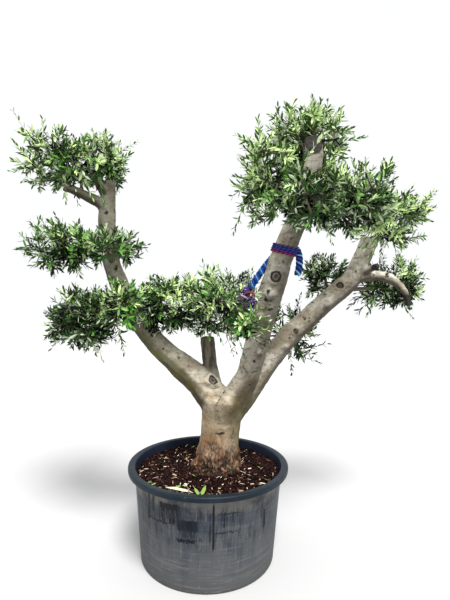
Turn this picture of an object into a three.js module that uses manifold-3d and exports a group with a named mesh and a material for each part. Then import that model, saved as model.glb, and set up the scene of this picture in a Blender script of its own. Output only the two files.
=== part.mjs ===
// A cloud-pruned olive tree in a round nursery pot, at its real size.
// Millimetres, +Z up. The origin is the centre of the pot's flat underside, and the front of the
// tree faces -Y.
//
// A short trunk with a wide foot stands on the soil and forks into three boughs. Each bough is a
// smooth tapering limb through a few stations, and carries pads of foliage. A pad is grown by a
// seeded rule: one stem leaves the bough, twigs spread from the stem towards evenly spaced points
// of the pad's ellipsoid, and leaves stand on the twigs.
import * as THREE from "three";
import { mergeVertices } from "three/addons/utils/BufferGeometryUtils.js";
import Module from "manifold-3d";

const wasm = await Module();
wasm.setup();

// Driving dimensions of the pot and the soil.
const POT = {
  height: 450,
  rimRadius: 400,
  rimInnerRadius: 362,
  rimDepth: 26,
  rimRounding: 9,
  topRadius: 367,
  baseRadius: 331,
  baseRounding: 12,
  wall: 7,
  floor: 9,
  segments: 40,
};
const SOIL = { edgeHeight: 407, middleHeight: 418, middleRadius: 190, segments: 36 };

// The rim's skirt narrows downwards, and the wall is thicker where it meets the floor.
const POT_DRAFT = { skirt: 2, foot: 1 };

// The soil's lower corner stays this much further in than the pot's.
const SOIL_CORNER = 3;

// Neighbouring solids stay this far apart.
const GAP = 0.3;

// Faces that stand out of a flat by less than this are merged: on wood and rope, and on foliage.
const WOOD_GRAIN = 0.1;
const LEAF_GRAIN = 0.8;

// The trunk is cut flat just above the soil.
const GROUND = SOIL.middleHeight + GAP;

// Limbs run through stations [x, y, z, radius], from the foot to the tip.
const LIMBS = {
  trunk: {
    sides: 18,
    steps: 12,
    stations: [
      [41, -4, 384, 150],
      [42, -3, 419, 127],
      [46, -2, 454, 111],
      [50, 0, 505, 103],
      [55, 0, 582, 97],
      [61, 0, 658, 99],
      [68, 0, 719, 108],
      [71, 0, 768, 112],
      [73, 0, 800, 96],
    ],
    foot: { ridges: 7, depth: 0.11, height: 0.3 },
  },
  left_bough: {
    sides: 12,
    steps: 20,
    stations: [
      [54, 5, 728, 86],
      [-30, 12, 830, 77],
      [-104, 18, 895, 69],
      [-197, 25, 967, 61],
      [-302, 30, 1067, 53],
      [-415, 40, 1220, 49],
      [-491, 46, 1369, 48],
      [-528, 50, 1479, 46],
      [-545, 50, 1597, 44],
      [-549, 48, 1717, 43],
      [-543, 45, 1792, 35],
      [-534, 45, 1877, 28],
    ],
  },
  left_arm: {
    sides: 8,
    steps: 7,
    stations: [
      [-549, 48, 1709, 32],
      [-579, 40, 1757, 27],
      [-622, 30, 1780, 26],
      [-690, 20, 1811, 23],
      [-758, 12, 1836, 21],
    ],
  },
  stub: {
    sides: 10,
    steps: 6,
    stations: [
      [23, 30, 799, 50],
      [14, 35, 869, 39],
      [-4, 38, 944, 35],
      [-17, 40, 1075, 37],
    ],
  },
  centre_bough: {
    sides: 12,
    steps: 14,
    stations: [
      [92, -10, 720, 80],
      [133, -14, 779, 69],
      [185, -28, 874, 60],
      [229, -48, 1046, 58],
      [261, -72, 1197, 60],
      [305, -98, 1344, 59],
      [336, -120, 1466, 56],
      [379, -150, 1584, 50],
      [425, -190, 1726, 46],
      [467, -225, 1890, 41],
      [456, -240, 2022, 39],
    ],
  },
  right_bough: {
    sides: 12,
    steps: 14,
    stations: [
      [106, 25, 690, 72],
      [156, 32, 746, 64],
      [268, 60, 897, 56],
      [389, 95, 1054, 55],
      [526, 125, 1184, 54],
      [654, 145, 1296, 54],
      [752, 160, 1382, 53],
      [798, 165, 1453, 52],
      [838, 172, 1543, 49],
      [864, 178, 1611, 45],
    ],
  },
  right_arm: {
    sides: 9,
    steps: 6,
    stations: [
      [764, 160, 1392, 38],
      [849, 150, 1412, 29],
      [917, 142, 1409, 27],
      [972, 135, 1391, 27],
    ],
  },
  right_hook: {
    sides: 9,
    steps: 6,
    stations: [
      [972, 135, 1391, 27],
      [1017, 127, 1353, 25],
      [1046, 119, 1304, 24],
      [1059, 113, 1246, 21],
    ],
  },
};

// The left bough bends from a slant to upright, and is two solids that meet at this share of it.
const LEFT_BEND = 5 / 11;

// Between two stations a limb's own curve is drawn through this many points.
const POINTS_PER_STATION = 12;

// How many spheres stand for a limb where twigs and leaves have to keep clear of it.
const LIMB_SPHERES = 40;

// Pruning scars and swollen knots that stand out of a limb: [limb, share, degrees round, radius].
// Against its radius a knot is this much longer along the limb and this much lower, and it is
// sunk into the bark.
const KNOT = { length: 1.25, depth: 0.62, sunk: 6 };
const KNOTS = [
  ["left_bough_lower", 0.06, -62, 34],
  ["centre_bough", 0.45, -96, 26],
  ["centre_bough", 0.37, -110, 20],
  ["centre_bough", 0.24, -70, 20],
  ["right_bough", 0.63, -84, 26],
  ["right_bough", 0.36, -60, 22],
];

// Foliage pads. Each has an ellipsoid of centre and semi-axes, the limb and share of it where the
// stem starts, the count of twigs, the seed of its draws, and the far tip of its longest shoot.
const PADS = {
  pad_left_top: {
    centre: [-782, 20, 1998],
    size: [248, 230, 200],
    from: ["left_arm", 0.96],
    twigs: 12,
    seed: 22,
    tip: [-1008, 20, 2085],
  },
  pad_left_crown: {
    centre: [-527, 50, 1982],
    size: [155, 200, 185],
    from: ["left_bough_upper", 0.99],
    twigs: 10,
    seed: 6,
    tip: [-401, 30, 2062],
  },
  pad_left_middle: {
    centre: [-750, 50, 1534],
    size: [238, 225, 158],
    from: ["left_bough_upper", 0.42],
    twigs: 12,
    seed: 12,
    tip: [-1001, 40, 1585],
  },
  pad_left_collar: {
    centre: [-483, -115, 1512],
    size: [120, 125, 118],
    from: ["left_bough_upper", 0.36],
    twigs: 8,
    seed: 16,
    tip: [-414, -150, 1433],
  },
  pad_left_inner: {
    centre: [-439, 65, 1538],
    size: [128, 175, 118],
    from: ["left_bough_upper", 0.33],
    twigs: 9,
    seed: 17,
    tip: [-315, 40, 1530],
  },
  pad_left_low: {
    centre: [-654, 35, 1160],
    size: [228, 235, 185],
    from: ["left_bough_lower", 0.985],
    twigs: 12,
    seed: 23,
    tip: [-891, 20, 1207],
  },
  pad_left_front: {
    centre: [-411, -125, 1233],
    size: [140, 125, 140],
    from: ["left_bough_lower", 0.93],
    twigs: 8,
    seed: 7,
    tip: [-340, -190, 1124],
  },
  pad_left_fork: {
    centre: [-251, 40, 1245],
    size: [190, 215, 165],
    from: ["left_bough_lower", 0.86],
    twigs: 10,
    seed: 6,
    tip: [-102, 10, 1328],
  },
  pad_centre_low: {
    centre: [79, -75, 1246],
    size: [190, 190, 182],
    from: ["centre_bough", 0.37],
    twigs: 10,
    seed: 23,
    tip: [-59, -70, 1408],
  },
  pad_behind: {
    centre: [463, 280, 1103],
    size: [185, 150, 222],
    from: ["right_bough", 0.42],
    twigs: 10,
    seed: 13,
    tip: [620, 240, 1028],
  },
  pad_top_left: {
    centre: [272, -120, 1848],
    size: [178, 230, 240],
    from: ["centre_bough", 0.76],
    twigs: 12,
    seed: 13,
    tip: [101, -180, 1640],
  },
  pad_top_front: {
    centre: [434, -355, 1710],
    size: [150, 118, 165],
    from: ["centre_bough", 0.78],
    twigs: 9,
    seed: 1,
    tip: [404, -440, 1595],
  },
  pad_top_back: {
    centre: [481, 95, 1831],
    size: [180, 135, 185],
    from: ["centre_bough", 0.84],
    twigs: 9,
    seed: 14,
    tip: [541, 220, 1807],
  },
  pad_top_right: {
    centre: [704, -110, 1759],
    size: [190, 235, 200],
    from: ["centre_bough", 0.82],
    twigs: 12,
    seed: 5,
    tip: [840, -80, 1891],
  },
  pad_top_crown: {
    centre: [489, -60, 2074],
    size: [212, 215, 172],
    from: ["centre_bough", 0.965],
    twigs: 12,
    seed: 15,
    tip: [420, -90, 2233],
  },
  pad_right_crown: {
    centre: [1012, 180, 1735],
    size: [228, 215, 190],
    from: ["right_bough", 0.99],
    twigs: 12,
    seed: 14,
    tip: [1222, 170, 1716],
  },
  pad_right_back: {
    centre: [646, 305, 1420],
    size: [160, 150, 148],
    from: ["right_bough", 0.66],
    twigs: 10,
    seed: 12,
    tip: [515, 280, 1506],
  },
  pad_right_low: {
    centre: [1037, 290, 1374],
    size: [208, 160, 165],
    from: ["right_bough", 0.7],
    twigs: 11,
    seed: 20,
    tip: [1212, 260, 1406],
  },
};

// A pad's stem. It sags by a share of the pad's height.
const STEM = { baseRadius: 13, tipRadius: 6, sides: 5, steps: 4, sag: 0.12 };

// Twigs reach a share of the way to the pad's surface, and sag by a share of their length. The
// longest one ends short of the pad's tip. Later twigs start at the forks of earlier ones.
const TWIG = {
  baseRadius: 5.5,
  tipRadius: 3,
  sides: 3,
  reach: [0.5, 0.88],
  sag: 0.06,
  shortfall: 0.12,
  forks: [0.42, 0.52, 0.66, 0.76],
  forkSpread: 0.04,
  turnSpread: 0.5,
  choices: 6,
};

// Leaves, in the larger size that a few of them need to fill a crown. Angles are in degrees from
// the twig. Spacing is the least distance between the midribs of two leaves.
const LEAF = {
  length: 124,
  width: 50,
  thickness: 7,
  widest: 0.45,
  perTwig: 6,
  lengthSpread: [0.82, 1.12],
  span: [0.36, 0.985],
  angle: [26, 60],
  tipAngle: 0.15 * THREE.MathUtils.RAD2DEG,
  turnSpread: 0.8,
  leanSpread: 0.6,
  turns: [0, 1.1, -1.1, 2.2, -2.2, 3.1],
  spacing: 41,
};

// The shares of a twig and of a leaf's midrib at which the room for it is tested.
const TWIG_TESTS = [0.2, 0.35, 0.5, 0.6, 0.7, 0.8, 0.9, 1];
const TWIG_MARKS = [0.5, 0.75];
const MIDRIB_TESTS = [0.45, 0.7, 1];

// Twigs and leaves keep this far from a limb, and by this share of a pad's size out of other pads.
const LIMB_CLEARANCE = 4;
const PAD_CLEARANCE = 0.02;
const GOLDEN_ANGLE = Math.PI * (3 - Math.sqrt(5));

// The rope tied round the centre bough, with the end that hangs from it, and the cord beside it
// that ends in a bundle.
const TIE = {
  from: 0.593,
  to: 0.622,
  thickness: 7,
  disc: { radius: 140, sides: 24 },
  sides: 8,
  steps: 6,
  end: { route: [[409, -125, 1517], [438, -122, 1475], [417, -118, 1393]], radius: 12 },
  cord: { route: [[285, -130, 1493], [248, -118, 1433], [180, -86, 1306]], radius: 9 },
  bundle: { centre: [174, -84, 1265], size: [28, 25, 48] },
};

const up = new THREE.Vector3(0, 0, 1);

const bark = new THREE.MeshStandardMaterial({ color: 0xb3a68e, roughness: 0.85, metalness: 0 });
const oldBark = new THREE.MeshStandardMaterial({ color: 0x7d776c, roughness: 0.9, metalness: 0 });
const foliage = new THREE.MeshStandardMaterial({ color: 0x5f7a3c, roughness: 0.6, metalness: 0 });
const plastic = new THREE.MeshStandardMaterial({ color: 0x565c63, roughness: 0.6, metalness: 0 });
const mulch = new THREE.MeshStandardMaterial({ color: 0x3b2a22, roughness: 1, metalness: 0 });
const rope = new THREE.MeshStandardMaterial({ color: 0x2a4a9c, roughness: 0.9, metalness: 0 });

// Returns a repeatable source of numbers from 0 to 1.
function seeded(seed) {
  let state = seed;
  return () => {
    state = (state + 0x6d2b79f5) | 0;
    let mixed = Math.imul(state ^ (state >>> 15), 1 | state);
    mixed = (mixed + Math.imul(mixed ^ (mixed >>> 7), 61 | mixed)) ^ mixed;
    return ((mixed ^ (mixed >>> 14)) >>> 0) / 4294967296;
  };
}

function vector([x, y, z]) {
  return new THREE.Vector3(x, y, z);
}

function lerp(a, b, share) {
  return a + (b - a) * share;
}

// Makes a closed solid of a geometry whose faces point out.
function solidOf(geometry) {
  const bare = geometry.clone();
  bare.deleteAttribute("normal");
  bare.deleteAttribute("uv");
  const merged = mergeVertices(bare, 1e-4);
  return new wasm.Manifold(
    new wasm.Mesh({
      numProp: 3,
      vertProperties: new Float32Array(merged.attributes.position.array),
      triVerts: new Uint32Array(merged.index.array),
    }),
  );
}

// Turns a solid back into a geometry.
function geometryOf(solid) {
  const mesh = solid.getMesh();
  const positions = new Float32Array(mesh.numVert * 3);
  for (let i = 0; i < mesh.numVert; i++) {
    positions.set(mesh.vertProperties.subarray(i * mesh.numProp, i * mesh.numProp + 3), i * 3);
  }
  const geometry = new THREE.BufferGeometry();
  geometry.setAttribute("position", new THREE.BufferAttribute(positions, 3));
  geometry.setIndex(new THREE.BufferAttribute(new Uint32Array(mesh.triVerts), 1));
  geometry.computeVertexNormals();
  return geometry;
}

function largestPart(solid) {
  return solid.decompose().sort((a, b) => b.volume() - a.volume())[0];
}

function joined(solids) {
  return solids.reduce((sum, next) => sum.add(next));
}

// Bends a closed cylinder along a curve. radiusAt and outlineAt take the share of the length, and
// outlineAt also takes the angle round. grow makes it that much thicker all over.
function sweep(curve, steps, sides, radiusAt, outlineAt = () => 1, grow = 0) {
  const geometry = new THREE.CylinderGeometry(1, 1, 1, sides, steps);
  const frames = curve.computeFrenetFrames(steps, false);
  const position = geometry.attributes.position;
  const local = new THREE.Vector3();
  for (let i = 0; i < position.count; i++) {
    local.fromBufferAttribute(position, i);
    const ring = Math.round((local.y + 0.5) * steps);
    const share = ring / steps;
    const round = Math.atan2(local.z, local.x);
    const radius = radiusAt(share) * outlineAt(share, round) + grow;
    const beyond = ring === 0 ? -grow : ring === steps ? grow : 0;
    const point = curve
      .getPointAt(share)
      .addScaledVector(frames.tangents[ring], beyond)
      .addScaledVector(frames.normals[ring], local.x * radius)
      .addScaledVector(frames.binormals[ring], -local.z * radius);
    position.setXYZ(i, point.x, point.y, point.z);
  }
  return geometry;
}

// Half of a limb, or the whole of it, with its own curve and radius.
function limbOf({ stations, sides, steps, foot }, from = 0, to = 1) {
  const whole = new THREE.CatmullRomCurve3(stations.map(vector), false, "centripetal");
  const last = stations.length - 1;
  const fine = POINTS_PER_STATION * last;
  const points = [];
  const radii = [];
  for (let i = Math.round(from * fine); i <= Math.round(to * fine); i++) {
    const place = (i / fine) * last;
    const station = Math.min(Math.floor(place), last - 1);
    const [start, end] = [stations[station][3], stations[station + 1][3]];
    points.push(whole.getPoint(i / fine));
    radii.push(lerp(start, end, place - station));
  }
  const curve = new THREE.CatmullRomCurve3(points, false, "centripetal");
  const lengths = [0];
  for (let i = 1; i < points.length; i++) {
    lengths.push(lengths[i - 1] + points[i].distanceTo(points[i - 1]));
  }
  const total = lengths[lengths.length - 1];
  const radiusAt = (share) => {
    const at = Math.min(Math.max(share, 0), 1) * total;
    const i = Math.max(1, lengths.findIndex((length) => length >= at));
    return lerp(radii[i - 1], radii[i], (at - lengths[i - 1]) / (lengths[i] - lengths[i - 1]));
  };
  return { curve, radiusAt, sides, steps: Math.max(4, Math.round(steps * (to - from))), foot };
}

// The limb's solid. grow makes it that much thicker all over.
function limbSolid(limb, grow = 0) {
  const { curve, radiusAt, sides, steps, foot } = limb;
  const outlineAt = (share, round) => {
    if (!foot) return 1;
    const fade = Math.max(0, 1 - share / foot.height);
    return 1 + foot.depth * fade * fade * Math.cos(foot.ridges * round + Math.sin(2 * round));
  };
  return solidOf(sweep(curve, steps, sides, radiusAt, outlineAt, grow));
}

// A point on the limb's surface, with the way out of it. Degrees 0 is +X and -90 the front.
function surfaceOf(limb, share, degrees) {
  const centre = limb.curve.getPointAt(share);
  const tangent = limb.curve.getTangentAt(share);
  const turn = THREE.MathUtils.degToRad(degrees);
  const out = new THREE.Vector3(Math.cos(turn), Math.sin(turn), 0);
  out.addScaledVector(tangent, -out.dot(tangent)).normalize();
  return { point: centre.clone().addScaledVector(out, limb.radiusAt(share)), out, tangent };
}

// A scar left by pruning: a low round boss on the bark.
function knotSolid(limb, share, degrees, radius, grow) {
  const { point, out, tangent } = surfaceOf(limb, share, degrees);
  const geometry = new THREE.SphereGeometry(1, 7, 4);
  const size = [radius, KNOT.length * radius, KNOT.depth * radius];
  geometry.scale(...size.map((value) => value + 2 * grow));
  const side = new THREE.Vector3().crossVectors(tangent, out);
  geometry.applyMatrix4(new THREE.Matrix4().makeBasis(side, tangent, out));
  geometry.translate(...point.addScaledVector(out, -KNOT.sunk).toArray());
  return solidOf(geometry);
}

// The pot's wall and rolled rim as one closed outline turned round the axis.
function potGeometry() {
  const p = POT;
  const rimBottom = p.height - p.rimDepth;
  const round = p.rimRounding;
  const innerBase = p.baseRadius - p.wall;
  const outline = [
    [0, 0],
    [p.baseRadius - p.baseRounding, 0],
    [p.baseRadius, p.baseRounding],
    [p.topRadius, rimBottom],
    [p.rimRadius - POT_DRAFT.skirt, rimBottom],
    [p.rimRadius, p.height - round],
    [p.rimRadius - round, p.height],
    [p.rimInnerRadius + round, p.height],
    [p.topRadius - p.wall, rimBottom],
    [innerBase + POT_DRAFT.foot, p.floor + p.baseRounding],
    [innerBase - p.baseRounding, p.floor],
    [0, p.floor],
  ];
  const profile = outline.map(([radius, height]) => new THREE.Vector2(radius, height));
  return new THREE.LatheGeometry(profile, p.segments).rotateX(Math.PI / 2);
}

// The pot's inner radius at a height, less the gap that the soil keeps.
function soilRadius(height) {
  const rimBottom = POT.height - POT.rimDepth;
  const [low, high] = [POT.floor + POT.baseRounding, rimBottom];
  const share = (height - low) / (high - low);
  const inner = lerp(POT.baseRadius - POT.wall + POT_DRAFT.foot, POT.topRadius - POT.wall, share);
  const facet = Math.cos(Math.PI / POT.segments);
  return inner * facet - 2 * GAP;
}

// The soil fills the pot, and rises a little towards the trunk.
function soilGeometry() {
  const bottom = POT.floor + GAP;
  const corner = POT.floor + POT.baseRounding + GAP;
  const outline = [
    [0, bottom],
    [soilRadius(corner) - POT.baseRounding - SOIL_CORNER, bottom],
    [soilRadius(corner), corner],
    [soilRadius(SOIL.edgeHeight), SOIL.edgeHeight],
    [SOIL.middleRadius, SOIL.middleHeight],
    [0, SOIL.middleHeight],
  ];
  const profile = outline.map(([radius, height]) => new THREE.Vector2(radius, height));
  return new THREE.LatheGeometry(profile, SOIL.segments).rotateX(Math.PI / 2);
}

// The spheres that a limb fills, by which twigs and leaves keep clear of it.
function limbSpheres(limb) {
  const count = LIMB_SPHERES;
  return Array.from({ length: count + 1 }, (_, i) => ({
    centre: limb.curve.getPointAt(i / count),
    radius: limb.radiusAt(i / count),
  }));
}

function clearOf(spheres, point, margin) {
  return spheres.every(({ centre, radius }) => centre.distanceTo(point) > radius + margin);
}

// How far out a point lies in a pad's ellipsoid: 0 at its centre and 1 on its surface.
function depthIn(pad, point) {
  const [x, y, z] = point.toArray().map((value, i) => (value - pad.centre[i]) / pad.size[i]);
  return Math.sqrt(x * x + y * y + z * z);
}

// True where a point is in the pad's own space: in its ellipsoid, and deeper in it than in others.
function inSpace(pad, point) {
  const depth = depthIn(pad, point);
  if (depth > 1) return false;
  return Object.values(PADS).every(
    (other) => other === pad || depthIn(other, point) > depth + PAD_CLEARANCE,
  );
}

// A leaf of four faces, from its root at the origin along +Y: one edge is its midrib, and the
// other crosses under it from side to side.
function leafGeometry(length) {
  const geometry = new THREE.TetrahedronGeometry(1, 0);
  const position = geometry.attributes.position;
  for (let i = 0; i < position.count; i++) {
    const [x, y, z] = [position.getX(i), position.getY(i), position.getZ(i)];
    if (z > 0) position.setXYZ(i, 0, y > 0 ? length : 0, 0);
    else position.setXYZ(i, (Math.sign(x) * LEAF.width) / 2, LEAF.widest * length, -LEAF.thickness);
  }
  return geometry;
}

// Turns a shape made along +Y to grow from a point along a direction, its flat side facing up.
function placed(geometry, root, direction, facing) {
  const side = new THREE.Vector3().crossVectors(direction, facing).normalize();
  const normal = new THREE.Vector3().crossVectors(side, direction).normalize();
  const matrix = new THREE.Matrix4().makeBasis(side, direction, normal).setPosition(root);
  return geometry.applyMatrix4(matrix);
}

// A twig along its route, as a stick of two straight stretches.
function twigGeometry([start, middle, end]) {
  const curve = new THREE.CurvePath();
  curve.add(new THREE.LineCurve3(start, middle));
  curve.add(new THREE.LineCurve3(middle, end));
  return sweep(curve, 2, TWIG.sides, (share) => lerp(TWIG.baseRadius, TWIG.tipRadius, share));
}

// The stem's route: out of its limb, then on into the pad's middle.
function stemRoute(pad, limbs) {
  const [name, share] = pad.from;
  const limb = limbs[name];
  const root = limb.curve.getPointAt(share);
  const centre = vector(pad.centre);
  const middle = root.clone().lerp(centre, 0.5).addScaledVector(up, -STEM.sag * pad.size[2]);
  return new THREE.QuadraticBezierCurve3(root, middle, centre);
}

// Evenly spread points of a pad's ellipsoid for its twigs to reach, the inner ones first.
function twigTargets(pad, random) {
  const targets = Array.from({ length: pad.twigs }, (_, i) => {
    const z = 1 - (2 * (i + 0.5)) / pad.twigs;
    const flat = Math.sqrt(1 - z * z);
    const turn = i * GOLDEN_ANGLE + TWIG.turnSpread * random();
    const reach = lerp(...TWIG.reach, random());
    const way = [flat * Math.cos(turn), flat * Math.sin(turn), z];
    return { reach, point: vector(pad.centre.map((at, j) => at + pad.size[j] * reach * way[j])) };
  });
  targets.sort((a, b) => a.reach - b.reach);
  const longest = vector(pad.tip).lerp(vector(pad.centre), TWIG.shortfall);
  return [...targets.map(({ point }) => point), longest];
}

// A place on a twig, whose route is bent once at its middle, and the twig's direction there.
function alongTwig([start, middle, end], share) {
  const [from, to, part] = share < 0.5 ? [start, middle, 2 * share] : [middle, end, 2 * share - 1];
  return { point: from.clone().lerp(to, part), tangent: to.clone().sub(from).normalize() };
}

// The pad's twigs. Each grows to its target from the nearest place on what has grown before it
// that leaves its way free.
function twigRoutes(pad, stem, random, spheres) {
  const skeleton = stem.getPoints(10).slice(5);
  const routes = [];
  for (const target of twigTargets(pad, random)) {
    const starts = [...skeleton].sort((a, b) => a.distanceTo(target) - b.distanceTo(target));
    const choices = starts.slice(0, TWIG.choices).map((start) => {
      const sag = TWIG.sag * start.distanceTo(target);
      return [start, start.clone().lerp(target, 0.5).addScaledVector(up, -sag), target];
    });
    const route = choices.find((choice) => {
      const points = TWIG_TESTS.map((share) => alongTwig(choice, share).point);
      return points.every((point) => inSpace(pad, point) && clearOf(spheres, point, LIMB_CLEARANCE));
    });
    if (!route) continue;
    const forks = TWIG.forks.map((share) => share + TWIG.forkSpread * random());
    skeleton.push(...forks.map((share) => alongTwig(route, share).point));
    routes.push(route);
  }
  return routes;
}

// The corners of a leaf, and places along its edges, that have to find room.
function leafPoints(leaf, root) {
  const position = leaf.attributes.position;
  const corners = Array.from({ length: position.count }, (_, i) =>
    new THREE.Vector3().fromBufferAttribute(position, i),
  ).filter((corner) => corner.distanceTo(root) > 1);
  const tip = corners.reduce((a, b) => (a.distanceTo(root) > b.distanceTo(root) ? a : b));
  return corners.flatMap((corner) => {
    const towardsTip = corner.clone().lerp(tip, 0.5);
    const towardsRoot = corner.clone().lerp(root, 0.4);
    return [corner, towardsTip, towardsRoot];
  });
}

// The leaves of one twig, which turn round it, the last one at its tip. A leaf that doesn't fit is
// turned further, and skipped where it fits nowhere.
function twigLeaves(pad, route, random, spheres, taken) {
  const leaves = [];
  const last = LEAF.perTwig - 1;
  for (let i = 0; i <= last; i++) {
    const { point: root, tangent } = alongTwig(route, lerp(...LEAF.span, i / last));
    const across = new THREE.Vector3().crossVectors(tangent, up).normalize();
    const turn = i * GOLDEN_ANGLE + LEAF.turnSpread * random();
    const degrees = i === last ? LEAF.tipAngle : lerp(...LEAF.angle, random());
    const tilt = THREE.MathUtils.degToRad(degrees);
    const length = LEAF.length * lerp(...LEAF.lengthSpread, random());
    const lean = LEAF.leanSpread * random();
    for (const further of LEAF.turns) {
      const side = across.clone().applyAxisAngle(tangent, turn + further);
      const direction = tangent.clone().multiplyScalar(Math.cos(tilt));
      direction.addScaledVector(side, Math.sin(tilt)).normalize();
      const facing = up.clone().addScaledVector(side, lean);
      const leaf = placed(leafGeometry(length), root, direction, facing);
      const midrib = MIDRIB_TESTS.map((part) => root.clone().addScaledVector(direction, part * length));
      const fits =
        midrib.every((point) => taken.every((other) => other.distanceTo(point) > LEAF.spacing)) &&
        leafPoints(leaf, root).every(
          (point) => inSpace(pad, point) && clearOf(spheres, point, LIMB_CLEARANCE),
        );
      if (!fits) continue;
      taken.push(...midrib);
      leaves.push(solidOf(leaf));
      break;
    }
  }
  return leaves;
}

// One pad: its stem, its twigs and their leaves.
function padSolid(pad, limbs, spheres) {
  const random = seeded(pad.seed);
  const stem = stemRoute(pad, limbs);
  const thins = (share) => lerp(STEM.baseRadius, STEM.tipRadius, share);
  const parts = [solidOf(sweep(stem, STEM.steps, STEM.sides, thins))];
  const routes = twigRoutes(pad, stem, random, spheres);
  const taken = routes.flatMap((route) => TWIG_MARKS.map((share) => alongTwig(route, share).point));
  for (const route of routes) {
    const leaves = twigLeaves(pad, route, random, spheres, taken);
    parts.push(solidOf(twigGeometry(route)), ...leaves);
  }
  return joined(parts).asOriginal().simplify(LEAF_GRAIN);
}

// The rope's ring follows the bough: a stretch of it, thicker by the rope. grow adds to it all over.
function tieBand(limb, grow = 0) {
  const { from, to, thickness, disc } = TIE;
  const centre = limb.curve.getPointAt((from + to) / 2);
  const tangent = limb.curve.getTangentAt((from + to) / 2);
  const width = limb.curve.getLength() * (to - from) + 2 * grow;
  const slice = new THREE.CylinderGeometry(disc.radius, disc.radius, width, disc.sides);
  const turn = new THREE.Quaternion().setFromUnitVectors(new THREE.Vector3(0, 1, 0), tangent);
  slice.applyQuaternion(turn);
  slice.translate(...centre.toArray());
  const sleeve = limbSolid(limb, thickness + grow);
  return sleeve.intersect(solidOf(slice));
}

function ropeSolid({ route, radius }) {
  const curve = new THREE.QuadraticBezierCurve3(...route.map(vector));
  return solidOf(sweep(curve, TIE.steps, TIE.sides, () => radius));
}

function bundleSolid({ centre, size }) {
  const geometry = new THREE.SphereGeometry(1, 10, 8);
  geometry.scale(...size);
  geometry.translate(...centre);
  return solidOf(geometry);
}

const limbs = {};
for (const [name, dimensions] of Object.entries(LIMBS)) {
  if (name === "left_bough") {
    limbs.left_bough_lower = limbOf(dimensions, 0, LEFT_BEND);
    limbs.left_bough_upper = limbOf(dimensions, LEFT_BEND, 1);
  } else {
    limbs[name] = limbOf(dimensions);
  }
}

const tree = new THREE.Group();

function add(name, geometry, material) {
  const mesh = new THREE.Mesh(geometry, material);
  mesh.name = name;
  tree.add(mesh);
}

add("pot", potGeometry(), plastic);
add("soil", soilGeometry(), mulch);

// Each limb is cut clear of those before it that it grows from or crosses.
const grown = {};
for (const [name, limb] of Object.entries(limbs)) {
  let solid = limbSolid(limb);
  const knots = KNOTS.filter(([owner]) => owner === name);
  const bosses = (grow) => knots.map(([, ...knot]) => knotSolid(limb, ...knot, grow));
  solid = joined([solid, ...bosses(0)]);
  if (limb.foot) solid = solid.trimByPlane(up.toArray(), GROUND);
  for (const earlier of Object.values(grown)) solid = solid.subtract(earlier);
  grown[name] = joined([limbSolid(limb, GAP), ...bosses(GAP)]);
  solid = largestPart(solid).asOriginal().simplify(WOOD_GRAIN);
  add(name, geometryOf(solid), name === "stub" ? oldBark : bark);
}

const band = joined([tieBand(limbs.centre_bough), ropeSolid(TIE.end)]);
const cord = joined([ropeSolid(TIE.cord), bundleSolid(TIE.bundle)]);
const ties = { tie_band: band, tie_cord: cord.subtract(tieBand(limbs.centre_bough, GAP)) };
for (const [name, tie] of Object.entries(ties)) {
  const solid = tie.subtract(grown.centre_bough);
  add(name, geometryOf(largestPart(solid).asOriginal().simplify(WOOD_GRAIN)), rope);
}

// Leaves keep clear of the limbs and of the rope.
const tieSpheres = [TIE.end, TIE.cord].flatMap(({ route, radius }) =>
  new THREE.QuadraticBezierCurve3(...route.map(vector))
    .getPoints(TIE.steps)
    .map((centre) => ({ centre, radius })),
);
tieSpheres.push({ centre: vector(TIE.bundle.centre), radius: TIE.bundle.size[2] });
const spheres = [...Object.values(limbs).flatMap(limbSpheres), ...tieSpheres];

Object.entries(PADS).forEach(([name, pad]) => {
  let solid = padSolid(pad, limbs, spheres);
  for (const limb of Object.values(grown)) solid = solid.subtract(limb);
  add(name, geometryOf(largestPart(solid)), foliage);
});

export default tree;
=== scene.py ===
"""A cloud-pruned olive tree in a round nursery pot, dressed on its solid model. Metres, +Z up."""

import math
import random

import bmesh
import bpy
import numpy as np
from bpy.props import FloatProperty, FloatVectorProperty, IntProperty, PointerProperty
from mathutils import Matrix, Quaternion, Vector, noise
from mathutils.bvhtree import BVHTree


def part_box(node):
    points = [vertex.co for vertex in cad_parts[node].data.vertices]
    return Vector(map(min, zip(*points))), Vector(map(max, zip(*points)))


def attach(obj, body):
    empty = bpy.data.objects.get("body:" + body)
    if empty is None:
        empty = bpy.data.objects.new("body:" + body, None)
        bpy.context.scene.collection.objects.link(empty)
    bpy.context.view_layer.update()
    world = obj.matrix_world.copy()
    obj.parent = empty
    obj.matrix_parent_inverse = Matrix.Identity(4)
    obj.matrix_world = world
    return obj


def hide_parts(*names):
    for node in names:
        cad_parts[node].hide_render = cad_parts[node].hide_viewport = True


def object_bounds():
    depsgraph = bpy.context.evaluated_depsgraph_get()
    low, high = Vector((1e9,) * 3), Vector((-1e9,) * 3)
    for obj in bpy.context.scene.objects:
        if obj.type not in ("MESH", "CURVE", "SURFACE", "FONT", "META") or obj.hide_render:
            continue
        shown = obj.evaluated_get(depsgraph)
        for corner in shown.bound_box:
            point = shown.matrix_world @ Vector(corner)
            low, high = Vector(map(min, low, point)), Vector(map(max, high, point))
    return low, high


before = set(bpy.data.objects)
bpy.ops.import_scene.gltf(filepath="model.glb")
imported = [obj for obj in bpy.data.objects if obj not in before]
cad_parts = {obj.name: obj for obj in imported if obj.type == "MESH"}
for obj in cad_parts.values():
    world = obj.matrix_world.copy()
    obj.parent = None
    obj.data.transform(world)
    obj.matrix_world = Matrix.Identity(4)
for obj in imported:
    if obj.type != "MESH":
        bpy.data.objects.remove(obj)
CAD_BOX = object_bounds()

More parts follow.
